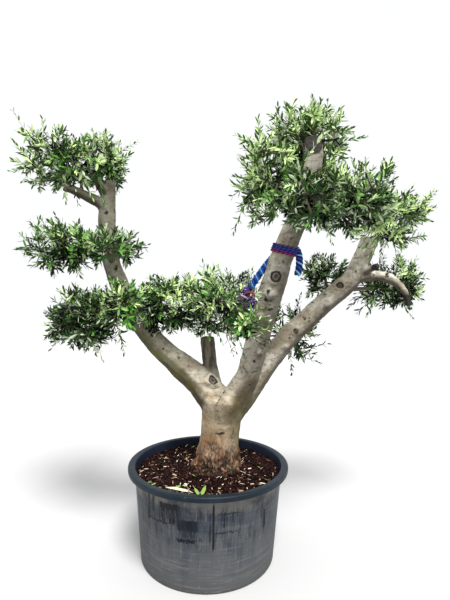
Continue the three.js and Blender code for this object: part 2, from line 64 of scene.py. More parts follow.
bl_info = {
    "name": "Potted Olive Tree",
    "version": (1, 0, 0),
    "blender": (4, 5, 0),
    "location": "View3D > Sidebar > Olive",
    "description": "Builds a cloud-pruned olive tree in a nursery pot",
    "category": "Add Mesh",
}

UP = Vector((0, 0, 1))
COPY_MERGE = 0.00005
SPIN_MERGE = 0.00002
GOLDEN_ANGLE = math.pi * (3 - math.sqrt(5))

# The photograph's frame in pixels, and the focal length in the same pixels.
PHOTO = {"width": 450, "height": 600, "focal": 416}

LIMB_NODES = [
    "trunk", "left_bough_lower", "left_bough_upper", "left_arm", "stub",
    "centre_bough", "right_bough", "right_arm", "right_hook",
]

# The pads whose leaves are joined into one piece.
SPRAY_GROUPS = {
    "leaves_left_top": ["pad_left_top", "pad_left_crown"],
    "leaves_left_middle": ["pad_left_middle", "pad_left_collar", "pad_left_inner"],
    "leaves_left_low": ["pad_left_low", "pad_left_front", "pad_left_fork"],
    "leaves_centre": ["pad_centre_low", "pad_behind"],
    "leaves_top_left": ["pad_top_left", "pad_top_front", "pad_top_back"],
    "leaves_top": ["pad_top_right", "pad_top_crown"],
    "leaves_right": ["pad_right_crown", "pad_right_back", "pad_right_low"],
}

# Each pad's own space: centre and semi-axes in metres, how full of twigs and how pale it is. The
# paleness partly paints light and shade on the pad: low for pads in shade, high for lit ones.
PADS = {
    "pad_left_top": ((-0.770, 0.020, 1.955), (0.226, 0.225, 0.198), 0.75, 0.65),
    "pad_left_crown": ((-0.556, 0.050, 1.965), (0.132, 0.200, 0.178), 0.80, 0.55),
    "pad_left_middle": ((-0.750, 0.050, 1.534), (0.238, 0.225, 0.158), 0.80, 0.10),
    "pad_left_collar": ((-0.500, -0.115, 1.512), (0.108, 0.125, 0.112), 1.00, 0.00),
    "pad_left_inner": ((-0.462, 0.065, 1.538), (0.112, 0.175, 0.112), 0.75, 0.00),
    "pad_left_low": ((-0.654, 0.035, 1.160), (0.228, 0.235, 0.185), 0.92, -0.45),
    "pad_left_front": ((-0.411, -0.125, 1.233), (0.140, 0.125, 0.140), 1.10, 0.25),
    "pad_left_fork": ((-0.218, 0.030, 1.245), (0.232, 0.215, 0.170), 1.25, 0.40),
    "pad_centre_low": ((0.070, -0.075, 1.246), (0.238, 0.195, 0.190), 1.20, 0.45),
    "pad_behind": ((0.463, 0.280, 1.103), (0.185, 0.150, 0.222), 0.45, -0.10),
    "pad_top_left": ((0.276, -0.120, 1.862), (0.182, 0.230, 0.250), 0.85, 1.15),
    "pad_top_front": ((0.434, -0.355, 1.710), (0.150, 0.118, 0.165), 2.20, -0.10),
    "pad_top_back": ((0.510, 0.070, 1.865), (0.195, 0.150, 0.205), 0.95, 0.45),
    "pad_top_right": ((0.704, -0.110, 1.759), (0.190, 0.235, 0.200), 1.00, 0.35),
    "pad_top_crown": ((0.476, -0.060, 2.066), (0.232, 0.215, 0.180), 1.00, 1.15),
    "pad_right_crown": ((1.005, 0.175, 1.735), (0.235, 0.215, 0.190), 0.60, 1.65),
    "pad_right_back": ((0.646, 0.305, 1.420), (0.160, 0.150, 0.148), 0.80, -0.30),
    "pad_right_low": ((1.037, 0.290, 1.374), (0.208, 0.160, 0.165), 0.90, -0.35),
}

# Long shoots that stand out of a pad: pixels of the photograph at the border and at the tip, and
# how far they stand before the pad's middle.
SPRIGS = {
    "pad_left_top": [
        ((36, 150), (14, 112), 0.0), ((32, 165), (13, 141), 0.0), ((44, 142), (43, 120), 0.0),
        ((72, 176), (78, 203), 0.08), ((62, 172), (66, 200), 0.08), ((82, 172), (92, 196), 0.08),
    ],
    "pad_left_crown": [
        ((120, 152), (137, 142), 0.0), ((98, 176), (104, 202), 0.12),
    ],
    "pad_left_middle": [
        ((43, 238), (30, 222), 0.0), ((70, 235), (56, 216), 0.0),
    ],
    "pad_left_inner": [
        ((128, 247), (147, 245), 0.0),
    ],
    "pad_left_low": [
        ((96, 336), (102, 359), 0.0), ((62, 334), (52, 348), 0.0),
    ],
    "pad_left_front": [
        ((120, 335), (124, 352), 0.0),
    ],
    "pad_centre_low": [
        ((208, 290), (203, 263), 0.0), ((198, 300), (187, 283), 0.0), ((224, 328), (233, 354), 0.0),
        ((244, 320), (266, 329), 0.16), ((240, 324), (263, 319), 0.17),
        ((242, 328), (267, 323), 0.18), ((250, 331), (275, 329), 0.17),
        ((246, 336), (268, 339), 0.17), ((226, 326), (236, 351), 0.05),
        ((236, 330), (243, 352), 0.08), ((214, 322), (222, 342), 0.05),
        ((246, 330), (262, 345), 0.16), ((250, 318), (271, 316), 0.15),
        ((252, 312), (268, 306), 0.15),
    ],
    "pad_behind": [
        ((297, 350), (327, 344), 0.0), ((290, 352), (292, 372), 0.0), ((300, 356), (318, 362), 0.0),
    ],
    "pad_top_crown": [
        ((303, 120), (300, 101), 0.0), ((312, 122), (316, 106), 0.0), ((342, 142), (365, 137), 0.0),
    ],
    "pad_top_left": [
        ((256, 150), (237, 136), 0.0), ((244, 205), (234, 231), 0.0), ((246, 186), (233, 196), 0.0),
    ],
    "pad_top_front": [
        ((326, 222), (332, 242), 0.0), ((298, 168), (324, 135), 0.0),
    ],
    "pad_right_crown": [
        ((402, 204), (413, 186), 0.0), ((412, 224), (430, 212), 0.0), ((392, 236), (398, 258), 0.0),
        ((376, 224), (360, 247), 0.1), ((380, 230), (371, 254), 0.1), ((372, 216), (354, 236), 0.1),
        ((384, 238), (379, 264), 0.05), ((366, 212), (352, 222), 0.1),
        ((376, 228), (356, 241), 0.16), ((370, 222), (350, 234), 0.16),
        ((378, 232), (365, 248), 0.16), ((366, 218), (346, 228), 0.16),
    ],
    "pad_right_low": [
        ((400, 300), (412, 317), 0.0), ((374, 300), (367, 315), 0.0),
        ((404, 272), (397, 258), 0.24), ((368, 295), (352, 299), 0.02),
        ((370, 300), (358, 312), 0.02), ((372, 290), (353, 289), 0.02),
        ((366, 292), (350, 306), 0.02), ((370, 286), (350, 283), 0.05),
        ((376, 288), (357, 293), 0.06), ((380, 292), (364, 302), 0.05),
    ],
}

# Openings in the leaves through which rope and bark show: pixel, distance along Y and radius.
WINDOWS = [
    ((312, 139), -0.2, 0.062), ((316, 162), -0.2, 0.034), ((246, 301), -0.09, 0.045),
    ((378, 275), 0.07, 0.022), ((390, 278), 0.08, 0.022), ((400, 285), 0.1, 0.022),
    ((407, 294), 0.11, 0.022), ((411, 303), 0.11, 0.02), ((258, 278), -0.11, 0.032),
    ((251, 288), -0.1, 0.03), ((272, 290), -0.15, 0.03),
]


def srgb(red, green, blue):
    """Turns a colour as it looks, from 0 to 255, into the linear one that a shader takes."""
    parts = ((value / 255 + 0.055) / 1.055 for value in (red, green, blue))
    return (*(part**2.4 for part in parts), 1.0)


# Colours of the leaves: five of the upper side, from painted shade to young, and two of the
# underside, the darker one partly painted shade.
LEAF_COLOURS = {
    "leaf_shade": srgb(4, 10, 4),
    "leaf_dark": srgb(30, 66, 22),
    "leaf_green": srgb(84, 142, 48),
    "leaf_olive": srgb(130, 172, 96),
    "leaf_young": srgb(202, 226, 154),
    "leaf_underside": srgb(62, 90, 46),
    "leaf_underside_pale": srgb(200, 216, 182),
}
UPPER_TINTS = 5


class CameraSettings(bpy.types.PropertyGroup):
    """Where the camera stands, as the photographer did."""

    eye: FloatVectorProperty(
        name="Eye", description="Camera position", default=(0.0714, -2.115, 1.268), subtype="XYZ"
    )
    roll: FloatProperty(
        name="Roll", description="Turn of the camera", default=0.014, subtype="ANGLE"
    )


class BarkSettings(bpy.types.PropertyGroup):
    """The skin of trunk and boughs."""

    voxel: FloatProperty(name="Grain", description="Size of a facet", default=0.0053, unit="LENGTH")
    swell: FloatProperty(
        name="Swell", description="Height of broad waves", default=0.0046, unit="LENGTH"
    )
    pimple: FloatProperty(
        name="Pimple", description="Height of fine waves", default=0.0016, unit="LENGTH"
    )
    ridge: FloatProperty(
        name="Ridge", description="Depth of the foot's ridges", default=0.013, unit="LENGTH"
    )
    hook_loss: FloatProperty(
        name="Hook", description="How much thinner the hook is", default=0.005, unit="LENGTH"
    )
    foot_top: FloatProperty(
        name="Foot top", description="Height where the rough foot ends", default=0.60, unit="LENGTH"
    )


class FoliageSettings(bpy.types.PropertyGroup):
    """How twigs branch and how leaves stand on them."""

    twigs: IntProperty(name="Twigs", description="Twigs of a pad of mean size", default=32)
    shoots: IntProperty(name="Shoots", description="Shoots on each twig", default=6)
    shoot_length: FloatProperty(
        name="Shoot", description="Length of a shoot", default=0.12, unit="LENGTH"
    )
    leaf_length: FloatProperty(
        name="Leaf", description="Length of a leaf", default=0.043, unit="LENGTH"
    )
    leaf_width: FloatProperty(
        name="Width", description="Width of a leaf", default=0.0130, unit="LENGTH"
    )
    spacing: FloatProperty(
        name="Spacing", description="Between leaf pairs", default=0.0150, unit="LENGTH"
    )


# Sockets of the Mix node for colours. Its sockets for other kinds of data have the same names.
MIX_INPUTS = (0, 6, 7)
MIX_OUTPUT = 2


class Value:
    """One output socket of a material. Arithmetic with it adds Math nodes."""

    def __init__(self, finish, socket):
        self.finish = finish
        self.socket = socket

    def __add__(self, other):
        return self.finish.maths("ADD", self, other)

    def __sub__(self, other):
        return self.finish.maths("SUBTRACT", self, other)

    def __rsub__(self, other):
        return self.finish.maths("SUBTRACT", other, self)

    def __mul__(self, other):
        return self.finish.maths("MULTIPLY", self, other)

    __radd__ = __add__
    __rmul__ = __mul__


class Finish:
    """A material with one Principled shader, built node by node."""

    def __init__(self, name):
        self.material = bpy.data.materials.new(name)
        self.material.use_nodes = True
        self.nodes = self.material.node_tree.nodes
        self.nodes.clear()
        output = self.nodes.new("ShaderNodeOutputMaterial")
        self.shader = self.nodes.new("ShaderNodeBsdfPrincipled")
        self.material.node_tree.links.new(self.shader.outputs[0], output.inputs["Surface"])

    def plug(self, socket, value):
        if isinstance(value, Value):
            self.material.node_tree.links.new(value.socket, socket)
        else:
            socket.default_value = value

    def node(self, kind, settings, sockets, output=0):
        """Adds any node: settings first, then its sockets. Returns one of its outputs."""
        node = self.nodes.new("ShaderNode" + kind)
        for name, setting in settings.items():
            setattr(node, name, setting)
        for name, value in sockets.items():
            self.plug(node.inputs[name], value)
        return Value(self, node.outputs[output])

    def maths(self, operation, *values):
        return self.node("Math", {"operation": operation}, dict(enumerate(values)))

    def place(self, scale=(1, 1, 1)):
        """A place on the piece, scaled along each axis."""
        coordinates = self.node("TexCoord", {}, {}, "Object")
        return self.node("Mapping", {}, {"Vector": coordinates, "Scale": scale})

    def axes(self, names="XYZ"):
        """How far a place on the piece is along each axis, in metres."""
        place = self.place()
        return [self.node("SeparateXYZ", {}, {"Vector": place}, name) for name in names]

    def noise(self, scale, detail, roughness, stretch=(1, 1, 1), distortion=0.0):
        sockets = {"Vector": self.place(stretch), "Scale": scale, "Detail": detail}
        sockets.update({"Roughness": roughness, "Distortion": distortion})
        return self.node("TexNoise", {}, sockets, "Fac")

    def cells(self, scale, stretch=(1, 1, 1)):
        """A pattern of round cells: how far their middles are, and each one's chance number."""
        sockets = {"Vector": self.place(stretch), "Scale": scale}
        distance = self.node("TexVoronoi", {}, sockets, "Distance")
        colour = Value(self, distance.socket.node.outputs["Color"])
        return distance, self.node("SeparateColor", {}, {"Color": colour}, "Red")

    def attribute(self, name):
        return self.node("Attribute", {"attribute_name": name}, {}, "Fac")

    def step(self, value, low, high):
        """0 below low, 1 above high, and smooth between them."""
        settings = {"interpolation_type": "SMOOTHSTEP"}
        return self.node("MapRange", settings, {"Value": value, "From Min": low, "From Max": high})

    def mix(self, share, first, second):
        node = self.nodes.new("ShaderNodeMix")
        node.data_type = "RGBA"
        for index, value in zip(MIX_INPUTS, (share, first, second)):
            self.plug(node.inputs[index], value)
        return Value(self, node.outputs[MIX_OUTPUT])

    def coats(self, colour, *coats):
        """Lays coats over a colour, each told by how much of it shows and by its colour."""
        for share, shade in coats:
            colour = self.mix(share, colour, shade)
        return colour

    def bump(self, height, distance, strength=1.0):
        sockets = {"Height": height, "Distance": distance, "Strength": strength}
        return self.node("Bump", {}, sockets)

    def done(self, specular=0.2, **sockets):
        self.shader.inputs["Specular IOR Level"].default_value = specular
        for name, value in sockets.items():
            self.plug(self.shader.inputs[name.replace("_", " ").title()], value)
        return self.material


def plain(name, colour, roughness, specular=0.2):
    """A material of one colour all over."""
    return Finish(name).done(specular, base_color=colour, roughness=roughness)


def select_only(*pieces):
    bpy.ops.object.select_all(action="DESELECT")
    for piece in pieces:
        piece.select_set(True)
    bpy.context.view_layer.objects.active = pieces[0]


def mesh_piece(name, points, faces, materials, material_of=None, smooth=True):
    """One mesh object of arrays of points and of faces."""
    mesh = bpy.data.meshes.new(name)
    mesh.from_pydata(points, [], faces)
    for material in materials:
        mesh.materials.append(material)
    if material_of is not None:
        mesh.polygons.foreach_set("material_index", np.asarray(material_of, np.int32))
    mesh.polygons.foreach_set("use_smooth", np.full(len(mesh.polygons), smooth))
    mesh.update()
    piece = bpy.data.objects.new(name, mesh)
    bpy.context.scene.collection.objects.link(piece)
    return piece


def apply_modifier(piece, kind, **settings):
    select_only(piece)
    modifier = piece.modifiers.new(kind.title(), kind)
    for name, value in settings.items():
        setattr(modifier, name, value)
    bpy.ops.object.modifier_apply(modifier=modifier.name)


def put_in_place(piece, slot, *nodes):
    """The piece rides on the plant and stands for the nodes. The slot is not used."""
    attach(piece, "root")
    if nodes:
        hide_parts(*nodes)


def vectors_of(mesh, kind="co"):
    """The place of each vertex of a mesh, or its normal, as rows of an array."""
    values = np.zeros(len(mesh.vertices) * 3)
    mesh.vertices.foreach_get(kind, values)
    return values.reshape(-1, 3)


def move_vertices(mesh, points):
    mesh.vertices.foreach_set("co", points.ravel())
    mesh.update()


def merged_copy(name, nodes):
    """One object of copies of CAD nodes, with the loose triangles of each node merged."""
    copies = []
    for node in nodes:
        copy = bpy.data.objects.new(node + "_copy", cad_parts[node].data.copy())
        bpy.context.scene.collection.objects.link(copy)
        copies.append(copy)
    select_only(*copies)
    if len(copies) > 1:
        bpy.ops.object.join()
    piece = bpy.context.view_layer.objects.active
    piece.name = name
    bpy.ops.object.mode_set(mode="EDIT")
    bpy.ops.mesh.select_all(action="SELECT")
    bpy.ops.mesh.remove_doubles(threshold=COPY_MERGE)
    bpy.ops.object.mode_set(mode="OBJECT")
    piece.data.materials.clear()
    return piece


def tree_of(piece):
    """The surface of a piece, for finding its nearest point and what a ray hits."""
    mesh = bmesh.new()
    mesh.from_mesh(piece.data)
    tree = BVHTree.FromBMesh(mesh)
    mesh.free()
    return tree


def ray_through(settings, across, down):
    """The ray from the eye through a pixel of the photograph."""
    side = across - PHOTO["width"] / 2
    fall = down - PHOTO["height"] / 2
    turn = settings.roll
    way = Vector((side + turn * fall, PHOTO["focal"], -(fall - turn * side)))
    return Vector(settings.eye), way.normalized()


def place_at(settings, across, down, distance_y):
    """The place of a pixel of the photograph at a given distance along Y."""
    eye, way = ray_through(settings, across, down)
    return eye + way * ((distance_y - eye.y) / way.y)


def smoothstep(values, low, high):
    """0 below low, 1 above high, and smooth between them."""
    share = np.clip((values - low) / (high - low), 0, 1)
    return share * share * (3 - 2 * share)


# Old ring knots and scars of the bark: pixel of the photograph, and radius in metres.
RING_KNOTS = [
    (276, 276, 0.044), (340, 285, 0.034), (213, 380, 0.043), (296, 331, 0.024), (387, 276, 0.020),
]
SCARS = [
    (268, 292, 0.017), (266, 299, 0.019), (269, 309, 0.017), (264, 343, 0.018), (283, 262, 0.009),
    (106, 213, 0.016), (114, 210, 0.009), (115, 236, 0.012), (94, 212, 0.008), (116, 268, 0.016),
    (178, 357, 0.01), (188, 366, 0.012), (163, 349, 0.008), (219, 424, 0.01), (221, 434, 0.014),
    (217, 402, 0.008), (224, 393, 0.012), (312, 303, 0.012), (304, 318, 0.013), (289, 338, 0.01),
    (288, 349, 0.008), (325, 295, 0.01), (254, 361, 0.01), (260, 354, 0.008), (242, 372, 0.012),
    (250, 385, 0.009), (356, 272, 0.01), (373, 275, 0.012), (386, 274, 0.014), (291, 238, 0.01),
]

# Creases: pixels along each, half width in metres and strength of the painted shade in them.
CREASES = [
    ([(225, 391), (221, 396), (218, 402), (215, 406)], 0.0045, 0.6),
    ([(243, 366), (246, 371), (252, 373), (257, 371)], 0.0045, 0.55),
    ([(233, 430), (232, 438)], 0.004, 0.7),
    ([(215, 433), (219, 435), (224, 434)], 0.004, 0.8),
    ([(262, 347), (261, 357)], 0.004, 0.5),
    ([(300, 316), (309, 322)], 0.005, 0.6),
    ([(104, 213), (114, 213)], 0.005, 0.7),
]

# Small marks that chance strews over the bark.
BLOTS = {
    "count": 130, "radius": (0.006, 0.012), "depth": (0.3, 0.8), "squash": (0.8, 1.9), "seed": 5,
}

# Painted shade in recesses and where shadows fall on the bark: pixels along each, radius in metres
# and strength.
PAINTED_SHADE_LINES = [
    ([(249, 384), (240, 400), (233, 413)], 0.062, 0.9),
    ([(182, 374), (193, 388), (200, 402)], 0.040, 0.7),
    ([(150, 352), (170, 370), (184, 384)], 0.042, 0.5),
    ([(264, 332), (258, 360), (250, 384)], 0.085, 0.55),
    ([(205, 385), (216, 387)], 0.022, 0.6),
    ([(217, 392), (223, 402), (228, 412)], 0.040, 0.5),
]

# Short stumps of pruned side branches: foot, end and radius.
STUMPS = [
    ((0.80, 0.165, 1.42), (0.874, 0.07, 1.461), 0.017),
    ((-0.548, 0.045, 1.80), (-0.60, -0.05, 1.888), 0.019),
]

# The slanting saw cut at the top of the centre bough.
TOP_CUT = {"point": (0.458, -0.245, 1.975), "normal": (-0.1, -0.87, 0.48)}

# Dark ends of boughs and stumps: place and radius.
DARK_ENDS = [
    ((1.059, 0.113, 1.246), 0.10), ((0.874, 0.07, 1.461), 0.05), ((-0.6, -0.05, 1.888), 0.021),
]

# How far the skin lies over the solids and how far its marks stand out or in. Marks with more than
# the least scar's radius stand out.
DEPTHS = {
    "skin": 0.0012, "collar": 0.006, "disc": 0.004, "crease": 0.003, "scar": 0.0022, "blot": 0.0008,
}
LEAST_SCAR = 0.011


def stump(foot, end, radius):
    """A tapering stump with a flat sawn end."""
    foot, end = Vector(foot), Vector(end)
    way = end - foot
    turn = UP.rotation_difference(way).to_euler()
    bpy.ops.mesh.primitive_cone_add(
        vertices=20, radius1=radius * 1.35, radius2=radius, depth=way.length,
        location=(foot + end) / 2, rotation=turn,
    )
    piece = bpy.context.object
    bpy.ops.object.transform_apply(location=True, rotation=True, scale=True)
    return piece


def cut_top(piece):
    """Saws the bough's top off along the slanting plane."""
    select_only(piece)
    bpy.ops.object.mode_set(mode="EDIT")
    bpy.ops.mesh.select_all(action="SELECT")
    bpy.ops.mesh.bisect(
        plane_co=TOP_CUT["point"], plane_no=TOP_CUT["normal"], use_fill=True, clear_outer=True
    )
    bpy.ops.object.mode_set(mode="OBJECT")


def noise_at(points, scale, offset=0.0):
    """Smooth noise from -1 to 1 at each point. The scale may differ along each axis."""
    shift = Vector((offset, offset, offset))
    scaled = points * np.asarray(scale)
    return np.array([noise.noise(Vector(point) + shift) for point in scaled])


def distances(tree, points):
    return np.array([tree.find_nearest(Vector(point))[3] for point in points])


def shaken(points, scale, amount, offset):
    """Places shifted by smooth noise, which gives round marks an uneven border."""
    shifts = [noise_at(points, scale, offset + axis) for axis in range(3)]
    return points + amount * np.stack(shifts, axis=1)


def distance_to_line(points, places):
    """How far each point is from a line through some places."""
    nearest = np.full(len(points), 1.0)
    for start, end in zip(places, places[1:]):
        way = end - start
        share = np.clip((points - start) @ way / (way @ way + 1e-9), 0, 1)
        gap = np.linalg.norm(points - start - share[:, None] * way, axis=1)
        nearest = np.minimum(nearest, gap)
    return nearest


def seen_marks(tree, settings, marks):
    """The places on the bark of marks that the photograph shows."""
    hits = [(tree.ray_cast(*ray_through(settings, u, v))[0], radius) for u, v, radius in marks]
    return [(np.array(hit), radius) for hit, radius in hits if hit]


def seen_line(tree, settings, pixels):
    """Places on the bark along a line that the photograph shows."""
    return [place for place, _ in seen_marks(tree, settings, [(*pixel, 0) for pixel in pixels])]


def set_attribute(mesh, name, values):
    attribute = mesh.attributes.new(name, "FLOAT", "POINT")
    attribute.data.foreach_set("value", np.clip(values, 0, 1).astype(np.float32))


def ring(away, middle, width):
    """1 where a distance is the middle one, fading on both sides."""
    return np.exp(-(((away - middle) / width) ** 2))


def blots_on(points, bark, scars):
    """Seen scars and the marks of chance: place, radius, depth and how squashed each is."""
    draw = random.Random(BLOTS["seed"])
    blots = [(place, radius, 1.0) for place, radius in scars]
    for _ in range(BLOTS["count"]):
        place = points[draw.randrange(len(points))]
        if place[2] > bark.foot_top:
            blots.append((place, draw.uniform(*BLOTS["radius"]), draw.uniform(*BLOTS["depth"])))
    return [(*blot, [draw.uniform(*BLOTS["squash"]) for _ in range(3)]) for blot in blots]


def marks_on(points, uneven, bark, tree, camera):
    """How far knots, scars and creases lift the bark, and how dark they make it. The creases'
    darkness is painted shade.
    """
    height, scar = np.zeros(len(points)), np.zeros(len(points))
    worn = np.clip(0.75 + 1.3 * noise_at(points, 85, 12), 0.25, 1)
    for place, radius in seen_marks(tree, camera, RING_KNOTS):
        away = np.linalg.norm(uneven - place, axis=1) / radius
        disc = 1 - smoothstep(away, 0.42, 0.62)
        height += DEPTHS["collar"] * ring(away, 0.78, 0.2) - DEPTHS["disc"] * disc
        edges = (0.95 * ring(away, 0.5, 0.11), 0.35 * ring(away, 1.02, 0.08))
        scar = np.maximum.reduce([scar, 0.36 * disc + 0.3 * ring(away, 0, 0.3), *edges])
    for place, radius, depth, squash in blots_on(points, bark, seen_marks(tree, camera, SCARS)):
        away = np.linalg.norm((uneven - place) * squash, axis=1) / radius
        pit = np.exp(-(away**2.5))
        height += (DEPTHS["scar"] if radius > LEAST_SCAR else -DEPTHS["blot"]) * pit
        scar = np.maximum(scar, depth * pit * worn)
    for pixels, width, depth in CREASES:
        crease = ring(distance_to_line(uneven, seen_line(tree, camera, pixels)), 0, width)
        height -= DEPTHS["crease"] * crease
        # The creases darken the scar mask: painted shade.
        scar = np.maximum(scar, depth * crease)
    return height, scar


def cut_places(points):
    """1 on the saw cut and on the dark ends."""
    x, _, z = points.T
    normal = np.array(Vector(TOP_CUT["normal"]).normalized())
    plane = (points - np.array(TOP_CUT["point"])) @ normal
    cut = smoothstep(plane, -0.009, -0.004) * (np.abs(x - 0.45) < 0.1) * (z > 1.85)
    for centre, reach in DARK_ENDS:
        away = np.linalg.norm(points - np.array(centre), axis=1)
        cut = np.maximum(cut, 1 - smoothstep(away, 0.6 * reach, reach))
    return cut


def relief(piece, bark, camera):
    """Moves the skin in and out as bark, and paints where it is old, scarred, mossy or cut. It also
    paints shade on the undersides, in creases, in recesses and where shadows fall.
    """
    points, normals = vectors_of(piece.data), vectors_of(piece.data, "normal")
    x, y, z = points.T
    tree = tree_of(piece)

    near_trunk = 1 - smoothstep(np.hypot(x - 0.05, y), 0.2, 0.3)
    foot = near_trunk * (1 - smoothstep(z + 0.05 * noise_at(points, 16), 0.45, bark.foot_top))
    rust = z + 0.1 * noise_at(points, 9, 4)
    rust = near_trunk * (1 - smoothstep(rust, 0.5, bark.foot_top + 0.1))
    from_stub = distances(tree_of(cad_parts["stub"]), points)
    dead = (1 - smoothstep(from_stub, 0.003, 0.012)) * smoothstep(z, 0.86, 0.93)

    fibres = np.abs(noise_at(points, (84, 84, 30), 3)) * 2 - 0.45
    strands = np.abs(noise_at(points, (140, 140, 66), 9)) * 2 - 0.4
    ridges = 0.7 * fibres + 0.5 * strands + 0.6 * noise_at(points, (30, 30, 18), 6)
    crack = foot * smoothstep(-(fibres + 0.5 * strands), -0.26, 0.16)
    height = bark.swell * noise_at(points, 11) + bark.pimple * noise_at(points, 55, 7)
    height += foot * bark.ridge * ridges
    height += dead * 0.35 * bark.ridge * noise_at(points, (70, 70, 8), 5)

    uneven = shaken(shaken(points, 45, 0.006, 20), 110, 0.003, 30)
    lift, scar = marks_on(points, uneven, bark, tree, camera)
    # Painted shade: bark that faces down is darkened.
    under = smoothstep(-normals[:, 2], -0.4, 0.5)
    left_fork = smoothstep(-x, 0.0, 0.08) * (1 - smoothstep(-x, 0.3, 0.42)) * (z > 0.8)
    moss = under * left_fork + 0.9 * dead * smoothstep(z, 1.055, 1.075)
    moss += 0.6 * near_trunk * smoothstep(x, 0.07, 0.14) * smoothstep(z, 0.5, 0.6) * (z < 0.8)
    moss *= 0.6 + 0.9 * noise_at(points, 30, 2)
    # Painted shade along lines of recesses and cast shadows.
    painted_shade = np.zeros(len(points))
    for pixels, width, depth in PAINTED_SHADE_LINES:
        away = distance_to_line(uneven, seen_line(tree, camera, pixels))
        painted_shade = np.maximum(painted_shade, depth * (1 - smoothstep(away, 0.15 * width, width)))

    masks = {"rust": rust, "crack": crack, "dead": dead, "scar": scar, "moss": moss}
    masks.update({"under": under, "cut": cut_places(points), "painted_shade": painted_shade})
    move_vertices(piece.data, points + normals * (DEPTHS["skin"] + height + lift)[:, None])
    for name, values in masks.items():
        set_attribute(piece.data, name, values)


def bark_dots(finish, size, least, fine):
    """Scattered dots: the cells of a pattern whose chance number is high enough."""
    distance, number = finish.cells(size, (1, 1, 1.6))
    round_dot = 1 - finish.step(distance + fine * 0.12, 0.15, 0.24)
    return round_dot * finish.step(number, least, least + 0.02) * 0.6


def bark_finish():
    """Smooth pale bark, mottled and pitted, with painted shade below, on the left side, in creases
    and in recesses, rough and rusty at the foot.
    """
    finish = Finish("olive_bark")
    step, attribute = finish.step, finish.attribute
    broad = finish.noise(8, 6, 0.65)
    fine = finish.noise(75, 6, 0.75)
    wrinkles = finish.noise(26, 6, 0.7, (1, 1, 2.2))
    greenish = finish.noise(20, 5, 0.7, (1, 1, 1.4))
    blotches = finish.noise(17, 6, 0.75, (1, 1, 0.8), 0.6)
    flakes = finish.noise(46, 6, 0.75, (1, 1, 0.4))
    grain = finish.noise(60, 5, 0.6, (1, 1, 0.15))
    across, height = finish.axes("XZ")
    trunk = 1 - step(height + broad * 0.2, 0.72, 1.08)
    # Painted shade on the left side, where the crown above shades the boughs.
    left_side_shade = 1 - step(across + broad * 0.1, -0.16, 0.04)
    sunk = 1 - step(height + fine * 0.02, 0.432, 0.462)
    rust = finish.mix(step(flakes, 0.44, 0.56), srgb(130, 82, 47), srgb(34, 21, 15))
    grey = finish.mix(step(grain, 0.4, 0.62), srgb(100, 92, 80), srgb(38, 33, 29))
    saw = finish.mix(step(fine, 0.4, 0.65), srgb(50, 45, 41), srgb(26, 23, 21))
    colour = finish.coats(
        srgb(218, 212, 197),
        (step(broad, 0.40, 0.62), srgb(160, 149, 129)),
        (step(wrinkles, 0.48, 0.66) * 0.7, srgb(112, 102, 84)),
        (step(greenish, 0.56, 0.7) * 0.5, srgb(138, 142, 112)),
        (trunk * 0.5, srgb(206, 178, 136)),
        (trunk * step(blotches, 0.5, 0.66) * 0.7, srgb(84, 74, 50)),
        # Painted shade on the left side.
        (left_side_shade * 0.6, srgb(104, 102, 80)),
        (step(fine, 0.52, 0.68) * 0.6, srgb(74, 64, 50)),
        (bark_dots(finish, 30.0, 0.72, fine), srgb(66, 53, 40)),
        (bark_dots(finish, 62.0, 0.6, fine), srgb(66, 53, 40)),
        # Painted shade on the undersides.
        (attribute("under") * 0.9, srgb(48, 42, 32)),
        (attribute("rust") * (0.45 + step(broad, 0.3, 0.6) * 0.5), rust),
        (attribute("crack"), srgb(26, 17, 13)),
        (sunk * 0.75, srgb(40, 25, 19)),
        (attribute("dead") * 0.9, grey),
        (attribute("moss"), srgb(92, 92, 50)),
        # Painted shade in recesses and cast shadows.
        (attribute("painted_shade") * 0.85, srgb(66, 54, 34)),
        (attribute("cut"), saw),
        # Dark scars and knots, and the painted shade of the creases.
        (step(attribute("scar"), 0.08, 0.7) * 0.96, srgb(30, 23, 19)),
    )
    return finish.done(
        base_color=colour,
        roughness=step(fine, 0.2, 0.8) * 0.2 + 0.68,
        normal=finish.bump(wrinkles * 0.5 + fine * 0.5, 0.003, 0.9),
    )


class OLIVE_OT_bark(bpy.types.Operator):
    """Trunk and boughs under one skin of bark"""

    bl_idname = "olive.bark"
    bl_label = "Bark"

    def execute(self, context):
        bark = context.scene.olive_bark
        centre = merged_copy("centre_copy", ["centre_bough"])
        cut_top(centre)
        single = ("centre_bough", "right_hook")
        others = merged_copy("bark", [node for node in LIMB_NODES if node not in single])
        hook = merged_copy("hook_copy", ["right_hook"])
        apply_modifier(hook, "DISPLACE", strength=-bark.hook_loss, mid_level=0)
        stumps = [stump(*sizes) for sizes in STUMPS]
        select_only(others, centre, hook, *stumps)
        bpy.ops.object.join()
        piece = context.view_layer.objects.active
        piece.name = "bark"
        apply_modifier(piece, "REMESH", mode="VOXEL", voxel_size=bark.voxel, use_smooth_shade=True)
        apply_modifier(piece, "SMOOTH", factor=0.5, iterations=8)
        relief(piece, bark, context.scene.olive_camera)
        piece.data.materials.clear()
        piece.data.materials.append(bark_finish())
        put_in_place(piece, "bark", *LIMB_NODES)
        return {"FINISHED"}


